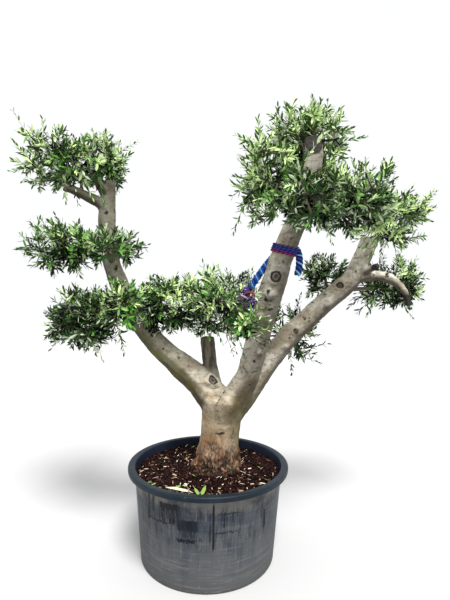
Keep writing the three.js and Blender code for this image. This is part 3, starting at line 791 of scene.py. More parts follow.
# The rule by which a pad grows: the shares and spreads are those of the solids.
STEM = {"base": 0.013, "tip": 0.006, "sides": 8, "sag": 0.12, "sunk": 0.025}
TWIG = {
    "base": 0.0052, "tip": 0.002, "sides": 5, "reach": (0.2, 0.76), "sag": 0.06, "shortfall": 0.14,
    "tries": 6,
}
TWIG_TESTS = (0.2, 0.35, 0.5, 0.6, 0.7, 0.8, 0.9, 1)
FORKS = (0.3, 0.42, 0.52, 0.66, 0.76)
SHOOT = {
    "base": 0.0021, "tip": 0.0009, "sides": 3, "span": (0.15, 1.0), "tilt": (0.4, 1.4),
    "lift": 0.35, "outward": 0.25, "length": (0.7, 1.3), "bend": 0.18,
}
SHOOT_TRIES = (1.0, 0.75, 0.55, 0.4)
SQUARENESS = 2.7
LOBES = {"scale": 2.4, "depth": 0.24, "apart": 9.0, "spread": (0.72, 1.02)}
LEAF_LIMIT = 1.12
GAPS = {"scale": 10.0, "level": 0.13}
BARK_CLEARANCE = 0.006
SHOOT_CLEARANCE = 0.004
BOX_REACH = 0.035
TOUCH = 0.0008
MEAN_PAD = 0.2
STICK_SHARES = (0, 0.25, 0.5, 0.75, 1)

# How light a shoot's leaves are: by its height in the pad, how far out it is, and chance. Low and
# inner shoots get painted shade, high and outer ones partly painted light. The steps part the
# tints. Some leaves differ by one tint from the rest of their shoot.
TINT = {
    "height": 1.1, "out": 3.0, "chance": (-1.92, 0.9), "steps": (0.55, 0.9, 1.16, 1.5), "same": 0.7,
}

# How a leaf stands on its shoot, in radians and in shares of its length, and how many leaves have
# the paler underside.
LEAF = {
    "grown": (0.82, 1.28), "tilt": (1.1, 0.35), "tilt_chance": 0.24, "rise": (0.04, 0.2),
    "twist": 0.35, "face_up": (0.2, 1.3), "taper": (1.1, 0.62), "size": (0.75, 1.1),
    "curl": (-0.05, 0.22), "pale_below": 0.34,
}


def lerp(low, high, share):
    return low + (high - low) * share


class Crown:
    """Every pad's own space, and the bark that twigs and leaves keep clear of."""

    def __init__(self, limbs, camera):
        self.limbs = limbs
        self.camera = camera
        self.pads = {name: self.space_of(name) for name in PADS}

    def space_of(self, name):
        """A pad's space, its furthest tip and its stem's root, from its solid."""
        centre, size, fullness, pale = (np.array(values) for values in PADS[name])
        points = vectors_of(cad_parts[name].data)
        found = [self.limbs.find_nearest(Vector(point)) for point in points]
        near = min(hit[3] for hit in found)
        touching = [i for i, hit in enumerate(found) if hit[3] < near + TOUCH]
        inward = -np.array(found[touching[0]][1])
        depth = np.linalg.norm((points - centre) / size, axis=1)
        return {
            "centre": centre,
            "size": size,
            "fullness": float(fullness),
            "pale": float(pale),
            "root": points[touching].mean(0) + STEM["sunk"] * inward,
            "tip": points[depth.argmax()],
            "offset": Vector(centre) * LOBES["apart"],
        }

    def inside(self, pad, points, limit=1.0):
        """True where a point is in the pad's space, whose border is in lobes and not smooth."""
        points = np.atleast_2d(points)
        away = (points - pad["centre"]) / pad["size"]
        depth = (np.abs(away) ** SQUARENESS).sum(1) ** (1 / SQUARENESS)
        lobes = [
            noise.noise(Vector(way / max(far, 1e-6)) * LOBES["scale"] + pad["offset"])
            for way, far in zip(away, depth)
        ]
        border = limit * (1 + LOBES["depth"] * (np.array(lobes) - 0.1))
        return (depth <= border) & self.boxed(points)

    def boxed(self, points):
        """True where a point keeps to the reach of the solids."""
        low, high = (np.array(corner) for corner in CAD_BOX)
        return ((points > low - BOX_REACH) & (points < high + BOX_REACH)).all(1)

    def in_window(self, points):
        """True where a point lies before rope or bark that the leaves leave open."""
        eye = np.array(self.camera.eye)
        found = np.zeros(len(points), bool)
        for pixel, depth, radius in WINDOWS:
            place = np.array(place_at(self.camera, *pixel, depth))
            way = unit(place - eye)
            far = (points - eye) @ way
            beside = np.linalg.norm(points - eye - far[:, None] * way, axis=1)
            found |= (beside < radius) & (far < np.linalg.norm(place - eye) + radius)
        return found

    def clear(self, point, margin):
        found, normal, _, distance = self.limbs.find_nearest(Vector(point))
        return distance > margin and (Vector(point) - found).dot(normal) > 0

    def room(self, pad, points, margin=BARK_CLEARANCE, limit=1.0):
        points = np.asarray(points)
        inside = self.inside(pad, points, limit).all()
        return bool(inside) and all(self.clear(point, margin) for point in points)


def along(route, share):
    """A place on a route that is bent once at its middle."""
    start, middle, end = route
    if share < 0.5:
        return lerp(start, middle, 2 * share)
    return lerp(middle, end, 2 * share - 1)


def stick(route):
    return [along(route, share) for share in STICK_SHARES]


def unit(vector):
    return vector / max(np.linalg.norm(vector), 1e-9)


def twig_routes(crown, pad, stem, count, draw):
    """Twigs to evenly spread targets, each from the nearest place that leaves its way free."""
    targets = []
    for i in range(count):
        z = 1 - 2 * (i + 0.5) / count
        flat = math.sqrt(1 - z * z)
        turn = i * GOLDEN_ANGLE + 0.5 * draw.random()
        way = np.array([flat * math.cos(turn), flat * math.sin(turn), z])
        way /= (np.abs(way) ** SQUARENESS).sum() ** (1 / SQUARENESS)
        reach = lerp(*TWIG["reach"], draw.random() ** 0.7)
        targets.append((reach, pad["centre"] + pad["size"] * reach * way))
    targets.sort(key=lambda target: target[0])
    targets.append((1, lerp(pad["tip"], pad["centre"], TWIG["shortfall"])))
    skeleton = list(stem[len(stem) // 2:])
    routes = []
    for _, target in targets:
        nearest = sorted(skeleton, key=lambda place: np.linalg.norm(place - target))
        for start in nearest[:TWIG["tries"]]:
            sag = TWIG["sag"] * np.linalg.norm(start - target)
            route = (start, lerp(start, target, 0.5) - sag * np.array(UP), target)
            if crown.room(pad, [along(route, share) for share in TWIG_TESTS]):
                routes.append(route)
                skeleton += [along(route, share + 0.04 * draw.random()) for share in FORKS]
                break
    pad["forks"] = skeleton
    return routes


def shoot_routes(crown, pad, route, foliage, draw):
    """Finer shoots round one twig, which turn towards the light."""
    shoots = []
    tangent = unit(route[2] - route[1])
    across = unit(np.cross(tangent, (0.13, 0.31, 0.94)))
    over = np.cross(tangent, across)
    for i in range(foliage.shoots + 1):
        last = i == foliage.shoots
        share = 1 if last else lerp(*SHOOT["span"], (i + 0.6 * draw.random()) / foliage.shoots)
        root = along(route, share)
        turn = i * GOLDEN_ANGLE + draw.random()
        tilt = 0.1 if last else draw.uniform(*SHOOT["tilt"])
        out = math.cos(turn) * across + math.sin(turn) * over
        outward = unit((root - pad["centre"]) / pad["size"])
        lift = SHOOT["lift"] * np.array(UP) * draw.uniform(-0.4, 1.4)
        lean = SHOOT["outward"] * outward + lift
        way = unit(math.cos(tilt) * tangent + math.sin(tilt) * out + lean)
        length = foliage.shoot_length * draw.uniform(*SHOOT["length"])
        limit = draw.uniform(*LOBES["spread"])
        bend = np.array([draw.gauss(mean, SHOOT["bend"]) for mean in (0, 0, 0.1)])
        if noise.noise(Vector(root + 0.5 * length * way) * GAPS["scale"]) > GAPS["level"]:
            continue
        for part in SHOOT_TRIES:
            end = root + way * length * part + bend * length * part * part
            middle = root + way * length * part * 0.5 + bend * length * part * part * 0.2
            if crown.room(pad, [lerp(root, middle, 0.6), middle, end], SHOOT_CLEARANCE, limit):
                shoots.append((root, middle, end))
                break
    return shoots


def spray_tint(pad, shoot, draw):
    """The tint of a shoot's leaves: lighter at the top and outside, where new growth is and as
    painted light, and darker within as painted shade.
    """
    rise = (shoot[2][2] - pad["centre"][2]) / pad["size"][2]
    out = min(1, np.linalg.norm((shoot[2] - pad["centre"]) / pad["size"]))
    light = TINT["height"] * rise + TINT["out"] * out + draw.gauss(*TINT["chance"]) + pad["pale"]
    return int(np.digitize(light, TINT["steps"]))


def shoot_leaves(pad, shoot, foliage, draw):
    """Pairs of leaves along a shoot, each across the pair below: place, way, face, size, tint."""
    root, middle, end = shoot
    length = np.linalg.norm(middle - root) + np.linalg.norm(end - middle)
    count = max(2, round(length / foliage.spacing))
    tint = spray_tint(pad, shoot, draw)
    across = unit(np.cross(end - root, (0.2, 0.1, 0.97)))
    grown = foliage.leaf_length * draw.uniform(*LEAF["grown"])
    leaves = []
    for i in range(count + 1):
        share = (i + 0.6) / (count + 0.6)
        place = along(shoot, share)
        tangent = unit(middle - root if share < 0.5 else end - middle)
        side = unit(across - tangent * across.dot(tangent))
        if i % 2:
            side = np.cross(tangent, side)
        for sign in (1, -1):
            out = sign * side
            tilt = lerp(*LEAF["tilt"], share) + draw.gauss(0, LEAF["tilt_chance"])
            lift = (0, 0, draw.gauss(*LEAF["rise"]))
            way = unit(math.cos(tilt) * tangent + math.sin(tilt) * out + lift)
            twist = np.array([draw.gauss(0, LEAF["twist"]), draw.gauss(0, LEAF["twist"]), 0])
            upward = np.array(UP) * draw.uniform(*LEAF["face_up"])
            face = unit(upward + 0.8 * tangent - 0.3 * out + twist)
            size = grown * lerp(*LEAF["taper"], share**2) * draw.uniform(*LEAF["size"])
            shade = tint if draw.random() < TINT["same"] else tint + draw.choice((-1, 1))
            leaves.append((place, way, face, size, min(max(shade, 0), UPPER_TINTS - 1)))
    return leaves


# A leaf: places [across, along, lift] of its outline and midrib, and its faces above.
LEAF_POINTS = np.array([
    [0, 0, 0], [-0.42, 0.3, 0], [-0.4, 0.68, 0], [0, 1, 0], [0.4, 0.68, 0], [0.42, 0.3, 0],
    [0, 0.3, -0.1], [0, 0.68, -0.1], [0, 0.3, -0.16], [0, 0.68, -0.16],
])
LEAF_ABOVE = [(0, 5, 6), (5, 4, 7, 6), (4, 3, 7), (0, 6, 1), (6, 7, 2, 1), (7, 3, 2)]
MIDRIB_BELOW = {6: 8, 7: 9}
LEAF_BELOW = [tuple(MIDRIB_BELOW.get(i, i) for i in reversed(face)) for face in LEAF_ABOVE]


def leaf_mesh(name, leaves, foliage, materials, draw):
    """One piece of all leaves of a group, each a thin closed blade with a folded midrib."""
    roots, ways, faces, sizes = (np.array([leaf[k] for leaf in leaves]) for k in range(4))
    sides = np.cross(ways, faces)
    sides /= np.linalg.norm(sides, axis=1)[:, None]
    tops = np.cross(sides, ways)
    broad = foliage.leaf_width * (sizes / foliage.leaf_length) ** 0.8
    broad *= np.array([leaf[5] if len(leaf) > 5 else 1 for leaf in leaves])
    curls = np.array([draw.uniform(*LEAF["curl"]) for _ in leaves])
    across, forward, lift = LEAF_POINTS.T[:, None, :]
    broad, sizes, curls = broad[:, None], sizes[:, None], curls[:, None]
    drop = lift * broad - curls * sizes * forward**2
    points = roots[:, None, :] + sides[:, None, :] * (across * broad)[..., None]
    points = points + ways[:, None, :] * (forward * sizes)[..., None]
    points = points + tops[:, None, :] * drop[..., None]
    polygons, slots = [], []
    for i, leaf in enumerate(leaves):
        base = len(LEAF_POINTS) * i
        polygons += [tuple(base + k for k in face) for face in LEAF_ABOVE + LEAF_BELOW]
        below = UPPER_TINTS + (draw.random() < LEAF["pale_below"])
        slots += [leaf[4]] * len(LEAF_ABOVE) + [below] * len(LEAF_BELOW)
    return mesh_piece(name, points.reshape(-1, 3), polygons, materials, slots, smooth=False)


class Tubes:
    """Tapering sticks, gathered for one mesh."""

    def __init__(self):
        self.points, self.faces, self.slots = [], [], []

    def add(self, route, base, tip, sides, slot=0):
        """A closed stick through the points of a route, thinning from base to tip."""
        route = np.asarray(route)
        start = len(self.points)
        last = len(route) - 1
        for i, centre in enumerate(route):
            tangent = unit(route[min(i + 1, last)] - route[max(i - 1, 0)])
            across = unit(np.cross(tangent, (0.31, 0.12, 0.94)))
            over = np.cross(tangent, across)
            radius = lerp(base, tip, i / last)
            for k in range(sides):
                turn = 2 * math.pi * k / sides
                out = math.cos(turn) * across + math.sin(turn) * over
                self.points.append(centre + radius * out)
        for i in range(last):
            for k in range(sides):
                low, high = start + i * sides, start + (i + 1) * sides
                after = (k + 1) % sides
                self.faces.append((low + k, low + after, high + after, high + k))
        self.faces.append(tuple(start + k for k in reversed(range(sides))))
        self.faces.append(tuple(start + last * sides + k for k in range(sides)))
        self.slots += [slot] * (last * sides + 2)

    def piece(self, name, materials):
        return mesh_piece(name, np.array(self.points), self.faces, materials, self.slots)


def curve(start, middle, end, count):
    """Places along the smooth curve that three points span."""
    shares = np.linspace(0, 1, count)
    return [(1 - t) ** 2 * start + 2 * t * (1 - t) * middle + t * t * end for t in shares]


def stem_route(pad):
    root, centre = pad["root"], pad["centre"]
    middle = lerp(root, centre, 0.5) - STEM["sag"] * pad["size"][2] * np.array(UP)
    return curve(root, middle, centre, 11)


def sprig_route(pad, camera, foot, tip, forward):
    """A long shoot from the nearest fork of the pad's twigs past its border."""
    depth = pad["centre"][1] - forward
    foot, tip = (np.array(place_at(camera, *pixel, depth)) for pixel in (foot, tip))
    start = min(pad["forks"], key=lambda place: np.linalg.norm(place - foot))
    return start, foot, tip


class OLIVE_OT_foliage(bpy.types.Operator):
    """Stems, twigs, shoots and leaves of every pad"""

    bl_idname = "olive.foliage"
    bl_label = "Foliage"

    def grow(self, crown, name, foliage, tubes, draw):
        """One pad: its stem, twigs and shoots go to the tubes, and its leaves are returned."""
        pad = crown.pads[name]
        stem = stem_route(pad)
        tubes.add(stem, STEM["base"], STEM["tip"], STEM["sides"])
        share_of_mean = (float(np.prod(pad["size"])) / MEAN_PAD**3) ** 0.75
        count = round(foliage.twigs * pad["fullness"] * share_of_mean)
        leaves = []
        for route in twig_routes(crown, pad, stem, count, draw):
            tubes.add(stick(route), TWIG["base"], TWIG["tip"], TWIG["sides"])
            for shoot in shoot_routes(crown, pad, route, foliage, draw):
                tubes.add(shoot, SHOOT["base"], SHOOT["tip"], SHOOT["sides"], 1)
                leaves += self.kept(crown, pad, shoot_leaves(pad, shoot, foliage, draw), LEAF_LIMIT)
        for sprig in SPRIGS.get(name, ()):
            start, foot, tip = sprig_route(pad, crown.camera, *sprig)
            tubes.add(stick((start, foot, tip)), SHOOT["base"], SHOOT["tip"], SHOOT["sides"], 1)
            shoot = (lerp(start, foot, 0.5), foot, tip)
            leaves += self.kept(crown, pad, shoot_leaves(pad, shoot, foliage, draw))
        return leaves

    def kept(self, crown, pad, leaves, limit=None):
        """The leaves whose ends stay in the pad, off the bark and out of the openings."""
        ends = np.array([leaf[0] + leaf[1] * leaf[3] for leaf in leaves])
        roots = np.array([leaf[0] for leaf in leaves])
        free = crown.boxed(ends)
        if limit:
            free = crown.inside(pad, ends, limit)
            free &= ~crown.in_window(ends) & ~crown.in_window(roots)
        return [
            leaf for leaf, well, end in zip(leaves, free, ends)
            if well and crown.clear(end, SHOOT_CLEARANCE)
        ]

    def execute(self, context):
        foliage = context.scene.olive_foliage
        limbs = merged_copy("limbs_copy", LIMB_NODES)
        crown = Crown(tree_of(limbs), context.scene.olive_camera)
        bpy.data.objects.remove(limbs)
        materials = [plain(name, colour, 0.5, 0.15) for name, colour in LEAF_COLOURS.items()]
        tubes = Tubes()
        for group, names in SPRAY_GROUPS.items():
            draw = random.Random(group)
            leaves = []
            for name in names:
                leaves += self.grow(crown, name, foliage, tubes, draw)
            piece = leaf_mesh(group, leaves, foliage, materials, draw)
            put_in_place(piece, "foliage", *names)
        twig_bark = plain("twig_bark", srgb(86, 86, 70), 0.8)
        shoot_bark = plain("shoot_bark", srgb(112, 118, 78), 0.7)
        put_in_place(tubes.piece("twigs", [twig_bark, shoot_bark]), "foliage")
        return {"FINISHED"}


# The pot's outline from the axis under the floor, up the outside, over the rim and down inside.
POT = {
    "base": 0.331, "foot": 0.010, "wall": 0.007, "floor": 0.009, "neck": 0.367, "height": 0.45,
    "lip": 0.4, "lip_inner": 0.364, "lip_depth": 0.026, "lip_round": 0.008,
}

# The soil's height at its edge and middle, how rough it is, and the share and scale of each kind of
# roughness.
SOIL = {"edge": 0.407, "middle": 0.418, "rough": 0.006, "mound": 0.0048, "summit_x": 0.04}
SOIL_ROUGHNESS = [(1, 22), (0.6, 60), (0.35, 130)]

# Chips over the soil, out to a radius and not at the trunk's foot.
CHIPS = {"count": 1500, "length": (0.007, 0.03), "seed": 11, "radius": 0.352, "pale": 0.12}
TRUNK_FOOT = {"x": 0.042, "radius": 0.118}

# The corners and the sides of a chip.
CHIP_CORNERS = [
    (-1, -1, -1), (1, -1, -1), (1, 1, -1), (-1, 1, -1),
    (-1, -1, 1), (1, -1, 1), (1, 1, 1), (-1, 1, 1),
]
CHIP_SIDES = [(0, 3, 2, 1), (4, 5, 6, 7), (0, 1, 5, 4), (1, 2, 6, 5), (2, 3, 7, 6), (3, 0, 4, 7)]
CHIP_COLOURS = {
    "chip_black": srgb(10, 6, 7),
    "chip_red": srgb(58, 26, 24),
    "chip_brown": srgb(74, 48, 40),
    "chip_pale": srgb(196, 172, 140),
    "chip_white": srgb(224, 212, 190),
}

# Fallen leaves by chance. The first ones lie at the front rim, between two angles in degrees.
LITTER = {
    "count": 150, "length": (0.014, 0.036), "breadth": (0.25, 0.6), "seed": 4, "green_every": 11,
    "at_rim": 50, "rim_angles": (216, 285), "rim_radius": (0.28, 0.348), "radius": (0.14, 0.34),
    "reach": 0.353,
}
DRY_TINTS = (0, 1, 2, 2)
GREEN_TINT = 3

# Five colours for the upper sides of fallen leaves, as for the tree's, and two for the undersides.
LITTER_COLOURS = [
    srgb(184, 168, 132), srgb(140, 118, 86), srgb(206, 196, 170), srgb(124, 154, 70),
    srgb(206, 196, 168), srgb(206, 196, 168), srgb(206, 196, 168),
]

# Single fallen leaves at the front rim: place, heading, lift, length, tint and breadth.
LOOSE_LEAVES = [
    ((-0.185, -0.262, 0.431), -0.10, 0.0, 0.135, 2, 0.5),
    ((-0.020, -0.318, 0.420), 1.1, 0.75, 0.052, 3, 1.2),
    ((-0.028, -0.316, 0.420), 2.2, 0.5, 0.046, 3, 1.2),
    ((-0.145, -0.255, 0.422), 0.7, 0.2, 0.04, 3, 1.0),
]


def spun(name, outline, steps):
    """A closed body turned round the Z axis from its outline [radius, height]."""
    points = [(radius, 0, height) for radius, height in outline]
    mesh = bpy.data.meshes.new(name)
    mesh.from_pydata(points, [(i, i + 1) for i in range(len(points) - 1)], [])
    piece = bpy.data.objects.new(name, mesh)
    bpy.context.scene.collection.objects.link(piece)
    select_only(piece)
    bpy.ops.object.mode_set(mode="EDIT")
    bpy.ops.mesh.select_all(action="SELECT")
    bpy.ops.mesh.spin(steps=steps, angle=2 * math.pi, center=(0, 0, 0), axis=(0, 0, 1))
    bpy.ops.mesh.select_all(action="SELECT")
    bpy.ops.mesh.remove_doubles(threshold=SPIN_MERGE)
    bpy.ops.mesh.normals_make_consistent(inside=False)
    bpy.ops.object.mode_set(mode="OBJECT")
    bpy.ops.object.shade_smooth_by_angle(angle=math.radians(40))
    return piece


def arc(centre, radius, start, end, steps):
    """Points of an arc in the outline's plane. Angles are in degrees from outwards."""
    turns = [math.radians(lerp(start, end, i / steps)) for i in range(steps + 1)]
    return [(centre[0] + radius * math.cos(t), centre[1] + radius * math.sin(t)) for t in turns]


def rise(start, end, steps):
    """Points of a straight line in the outline's plane."""
    shares = [i / steps for i in range(steps + 1)]
    return [(lerp(start[0], end[0], share), lerp(start[1], end[1], share)) for share in shares]


def pot_outline():
    p = POT
    skirt = p["height"] - p["lip_depth"]
    turn = p["lip_round"]
    outline = [(0, 0.002), (0.6 * p["base"], 0.002)]
    outline += [(p["base"] - 0.03, 0), (p["base"] - p["foot"], 0)]
    outline += arc((p["base"] - p["foot"], p["foot"]), p["foot"], -70, 0, 4)
    outline += rise((p["base"] + 0.0012, 0.03), (p["neck"] - 0.002, skirt - 0.014), 22)
    outline += [(p["neck"] + 0.002, skirt - 0.008), (p["neck"] + 0.004, skirt + 0.004)]
    outline += arc((p["lip"] - 0.006, skirt + 0.006), 0.0055, -100, -5, 4)
    outline += arc((p["lip"] - turn, p["height"] - turn), turn, 10, 90, 6)
    outline += arc((p["lip_inner"] + turn, p["height"] - turn), turn, 95, 170, 6)
    outline += [(p["neck"] - p["wall"], skirt - 0.004)]
    inner = p["base"] - p["wall"]
    outline += [(inner + 0.002, p["floor"] + 0.02), (inner - 0.012, p["floor"]), (0, p["floor"])]
    return outline


# Stains of old tape and scratches on the pot's front: middle and half size across and up, how dark
# they are and how worn.
STAINS = [
    ((-0.157, 0.345), (0.046, 0.046), 1.0, 0.48), ((-0.157, 0.378), (0.046, 0.014), 0.9, 0.36),
    ((-0.076, 0.305), (0.046, 0.024), 1.0, 0.28), ((-0.076, 0.27), (0.04, 0.02), 0.8, 0.48),
    ((-0.082, 0.236), (0.042, 0.009), 1.0, 0.36), ((0.036, 0.303), (0.0045, 0.104), 1.0, 0.3),
    ((0.022, 0.3), (0.003, 0.07), 0.8, 0.42), ((0.1, 0.358), (0.048, 0.0035), 0.9, 0.4),
    ((0.082, 0.33), (0.0035, 0.03), 0.8, 0.4), ((0.118, 0.34), (0.003, 0.022), 0.6, 0.44),
    ((0.09, 0.275), (0.052, 0.003), 0.9, 0.4), ((-0.255, 0.345), (0.007, 0.06), 1.0, 0.36),
    ((-0.232, 0.368), (0.006, 0.04), 0.8, 0.42), ((-0.205, 0.298), (0.045, 0.004), 0.9, 0.36),
    ((0.262, 0.29), (0.005, 0.045), 1.0, 0.3),
]


def stained(finish, body, x, z, front):
    """Lays the stains over the pot's colour, each with a ragged border and worn in places."""
    step = finish.step
    ragged = finish.noise(120, 4, 0.8, (1, 1, 0.12)) * 0.05 - 0.025
    wear = finish.noise(75, 5, 0.8, (1, 1, 0.12))
    for (across, up), (half, tall), dark, worn in STAINS:
        aside = finish.maths("ABSOLUTE", x - across + ragged * min(half * 12, 0.8))
        above = finish.maths("ABSOLUTE", z - up + ragged * 0.8)
        inside = 1 - step(aside, half * 0.8, half * 1.15)
        inside = inside * (1 - step(above, tall * 0.85, tall * 1.1))
        left = step(wear, worn - 0.08, worn + 0.08)
        body = finish.mix(inside * front * left * dark, body, srgb(5, 9, 18))
    return body


def pot_finish():
    """Slate-blue plastic under a film of dust, with streaks, scuffs and stains of old tape."""
    finish = Finish("dusty_plastic")
    step = finish.step
    x, y, z = finish.axes()
    streaks = finish.noise(26, 6, 0.75, (1, 1, 0.045))
    fine = finish.noise(90, 5, 0.8, (1, 1, 0.03))
    clouds = finish.noise(7, 5, 0.6)
    dust = step(clouds * 0.4 + streaks * 0.6 - z * 0.85, 0.16, 0.46)
    upper = step(z + clouds * 0.1, 0.14, 0.30)
    low = 1 - step(z + clouds * 0.08, 0.10, 0.16)
    under_rim = step(z + streaks * 0.03, 0.36, 0.40) * step(clouds, 0.38, 0.58)
    dark_lines = step(finish.noise(48, 4, 0.7, (1, 1, 0.06)), 0.60, 0.74)
    scuffs = step(finish.noise(8, 6, 0.8, (0.4, 0.4, 7), 1.2), 0.52, 0.6)
    grazes = step(finish.noise(13, 6, 0.8, (0.3, 0.3, 8), 1.2), 0.58, 0.63)
    soiled = step(finish.noise(60, 5, 0.7), 0.45, 0.62) * (1 - step(z, 0.0, 0.03))
    body = finish.coats(
        srgb(44, 51, 60),
        (dust, srgb(79, 81, 83)),
        (step(fine, 0.52, 0.7) * (0.2 + upper * 0.4), srgb(122, 119, 114)),
        (dark_lines * (0.2 + upper * 0.5), srgb(52, 60, 70)),
        (under_rim * 0.7, srgb(112, 109, 104)),
        (low * 0.6, srgb(74, 76, 76)),
        (scuffs * (0.45 - upper * 0.25), srgb(112, 113, 112)),
        (grazes * (0.7 - upper * 0.3), srgb(50, 54, 58)),
        (soiled * 0.8, srgb(82, 62, 46)),
    )
    front = 1 - step(y, -0.2, -0.1)
    middle_band = step(z, 0.16, 0.27) * (1 - step(z, 0.37, 0.41)) * front
    strokes = step(finish.noise(52, 5, 0.85, (1, 1, 0.09)), 0.5, 0.6)
    wiped = step(finish.noise(16, 5, 0.8, (0.3, 0.3, 2.4), 1.0), 0.6, 0.72)
    scratches = step(finish.noise(160, 3, 0.6, (1, 0.35, 0.25), 1.5), 0.68, 0.76)
    body = finish.coats(
        stained(finish, body, x, z, front),
        (middle_band * strokes * 0.75, srgb(26, 32, 42)),
        (wiped * (1 - step(z, 0.18, 0.3)) * 0.5, srgb(78, 80, 82)),
        (scratches * 0.5, srgb(186, 184, 178)),
    )
    lip = finish.coats(
        srgb(14, 26, 34),
        (step(clouds, 0.42, 0.7) * 0.5, srgb(36, 50, 58)),
        (step(finish.noise(40, 5, 0.7), 0.58, 0.74) * 0.4, srgb(84, 90, 92)),
    )
    lip_foot = POT["height"] - POT["lip_depth"]
    rim = step(z, lip_foot - 0.002, lip_foot)
    radius = finish.maths("SQRT", x * x + y * y)
    slope = (POT["neck"] - POT["base"]) / lip_foot
    half_wall = POT["base"] - 0.5 * POT["wall"]
    within = 1 - step(radius - z * slope, half_wall - 0.001, half_wall + 0.001)
    inner_rim = rim * (1 - step(radius, 0.371, 0.375))
    inside = finish.mix(step(clouds, 0.4, 0.7) * 0.4, srgb(18, 26, 42), srgb(40, 52, 68))
    height = streaks * 0.5 + fine * 0.3 + finish.noise(220, 3, 0.6) * 0.2
    inner = finish.maths("MAXIMUM", within, inner_rim)
    return finish.done(
        base_color=finish.coats(body, (rim, lip), (inner, inside)),
        roughness=0.48 + dust * 0.3,
        normal=finish.bump(height, 0.0015, 0.5),
    )


class OLIVE_OT_pot(bpy.types.Operator):
    """The round pot with its rolled rim"""

    bl_idname = "olive.pot"
    bl_label = "Pot"

    def execute(self, context):
        piece = spun("nursery_pot", pot_outline(), 144)
        points = vectors_of(piece.data)
        x, y, z = points.T
        turn = np.arctan2(y, x)
        wobble = 0.0012 * np.sin(2 * turn + 0.6)
        wobble += 0.0008 * np.sin(5 * turn) * smoothstep(z, 0.02, 0.2)
        points[:, :2] *= (1 + wobble / POT["lip"] * smoothstep(z, 0.0, 0.1))[:, None]
        move_vertices(piece.data, points)
        piece.data.materials.append(pot_finish())
        put_in_place(piece, "pot", "pot")
        return {"FINISHED"}


def soil_height(x, y):
    """The soil's surface: higher round the trunk's foot, and rough."""
    away = math.hypot(x - SOIL["summit_x"], y)
    place = Vector((x, y, 0))
    rough = sum(share * noise.noise(place * scale) for share, scale in SOIL_ROUGHNESS)
    level = lerp(SOIL["edge"], SOIL["middle"], math.exp(-((away / 0.26) ** 2)))
    return level + SOIL["mound"] * math.exp(-((away / 0.2) ** 2)) + SOIL["rough"] * rough


def soil_finish():
    """Dark crumbs with some brown ones and a few pale fibres."""
    finish = Finish("bark_mulch")
    coarse = finish.noise(55, 6, 0.75)
    fine = finish.noise(190, 5, 0.7)
    _, number = finish.cells(120.0)
    colour = finish.coats(
        srgb(6, 3, 4),
        (finish.step(coarse, 0.4, 0.66), srgb(34, 18, 17)),
        (finish.step(number, 0.6, 0.95) * 0.5, srgb(66, 40, 34)),
        (finish.step(fine, 0.66, 0.76) * 0.5, srgb(150, 128, 104)),
    )
    bump = finish.bump(coarse * 0.6 + fine * 0.4, 0.006)
    return finish.done(0.02, base_color=colour, roughness=0.92, normal=bump)


def chips_mesh():
    """Chips of bark and wood, scattered flat or on edge over the soil."""
    draw = random.Random(CHIPS["seed"])
    points, faces, slots = [], [], []
    for _ in range(CHIPS["count"]):
        radius = CHIPS["radius"] * math.sqrt(draw.random())
        turn = draw.uniform(0, 2 * math.pi)
        x, y = radius * math.cos(turn), radius * math.sin(turn)
        if math.hypot(x - TRUNK_FOOT["x"], y) < TRUNK_FOOT["radius"]:
            continue
        length = draw.uniform(*CHIPS["length"]) * draw.uniform(0.5, 1)
        pale = draw.random() < CHIPS["pale"]
        broad, thick = draw.uniform(0.12, 0.5), draw.uniform(0.05, 0.16)
        size = Vector((length, length * broad, length * thick)) / 2
        tilt = Quaternion((0, 0, 1), draw.uniform(0, math.pi))
        tilt = tilt @ Quaternion((1, 0, 0), draw.gauss(0, 0.4))
        tilt = tilt @ Quaternion((0, 1, 0), draw.gauss(0, 0.28))
        middle = Vector((x, y, soil_height(x, y) + draw.uniform(0.001, 0.005)))
        start = len(points)
        for corner in CHIP_CORNERS:
            squeeze = Vector((draw.uniform(0.6, 1), draw.uniform(0.6, 1), 1))
            points.append(middle + tilt @ (Vector(corner) * squeeze * size))
        faces += [tuple(start + i for i in side) for side in CHIP_SIDES]
        slots += [draw.choice((3, 3, 4) if pale else (0, 0, 1, 1, 2))] * len(CHIP_SIDES)
    materials = [plain(name, colour, 0.85) for name, colour in CHIP_COLOURS.items()]
    return mesh_piece("mulch_chips", points, faces, materials, slots, smooth=False)


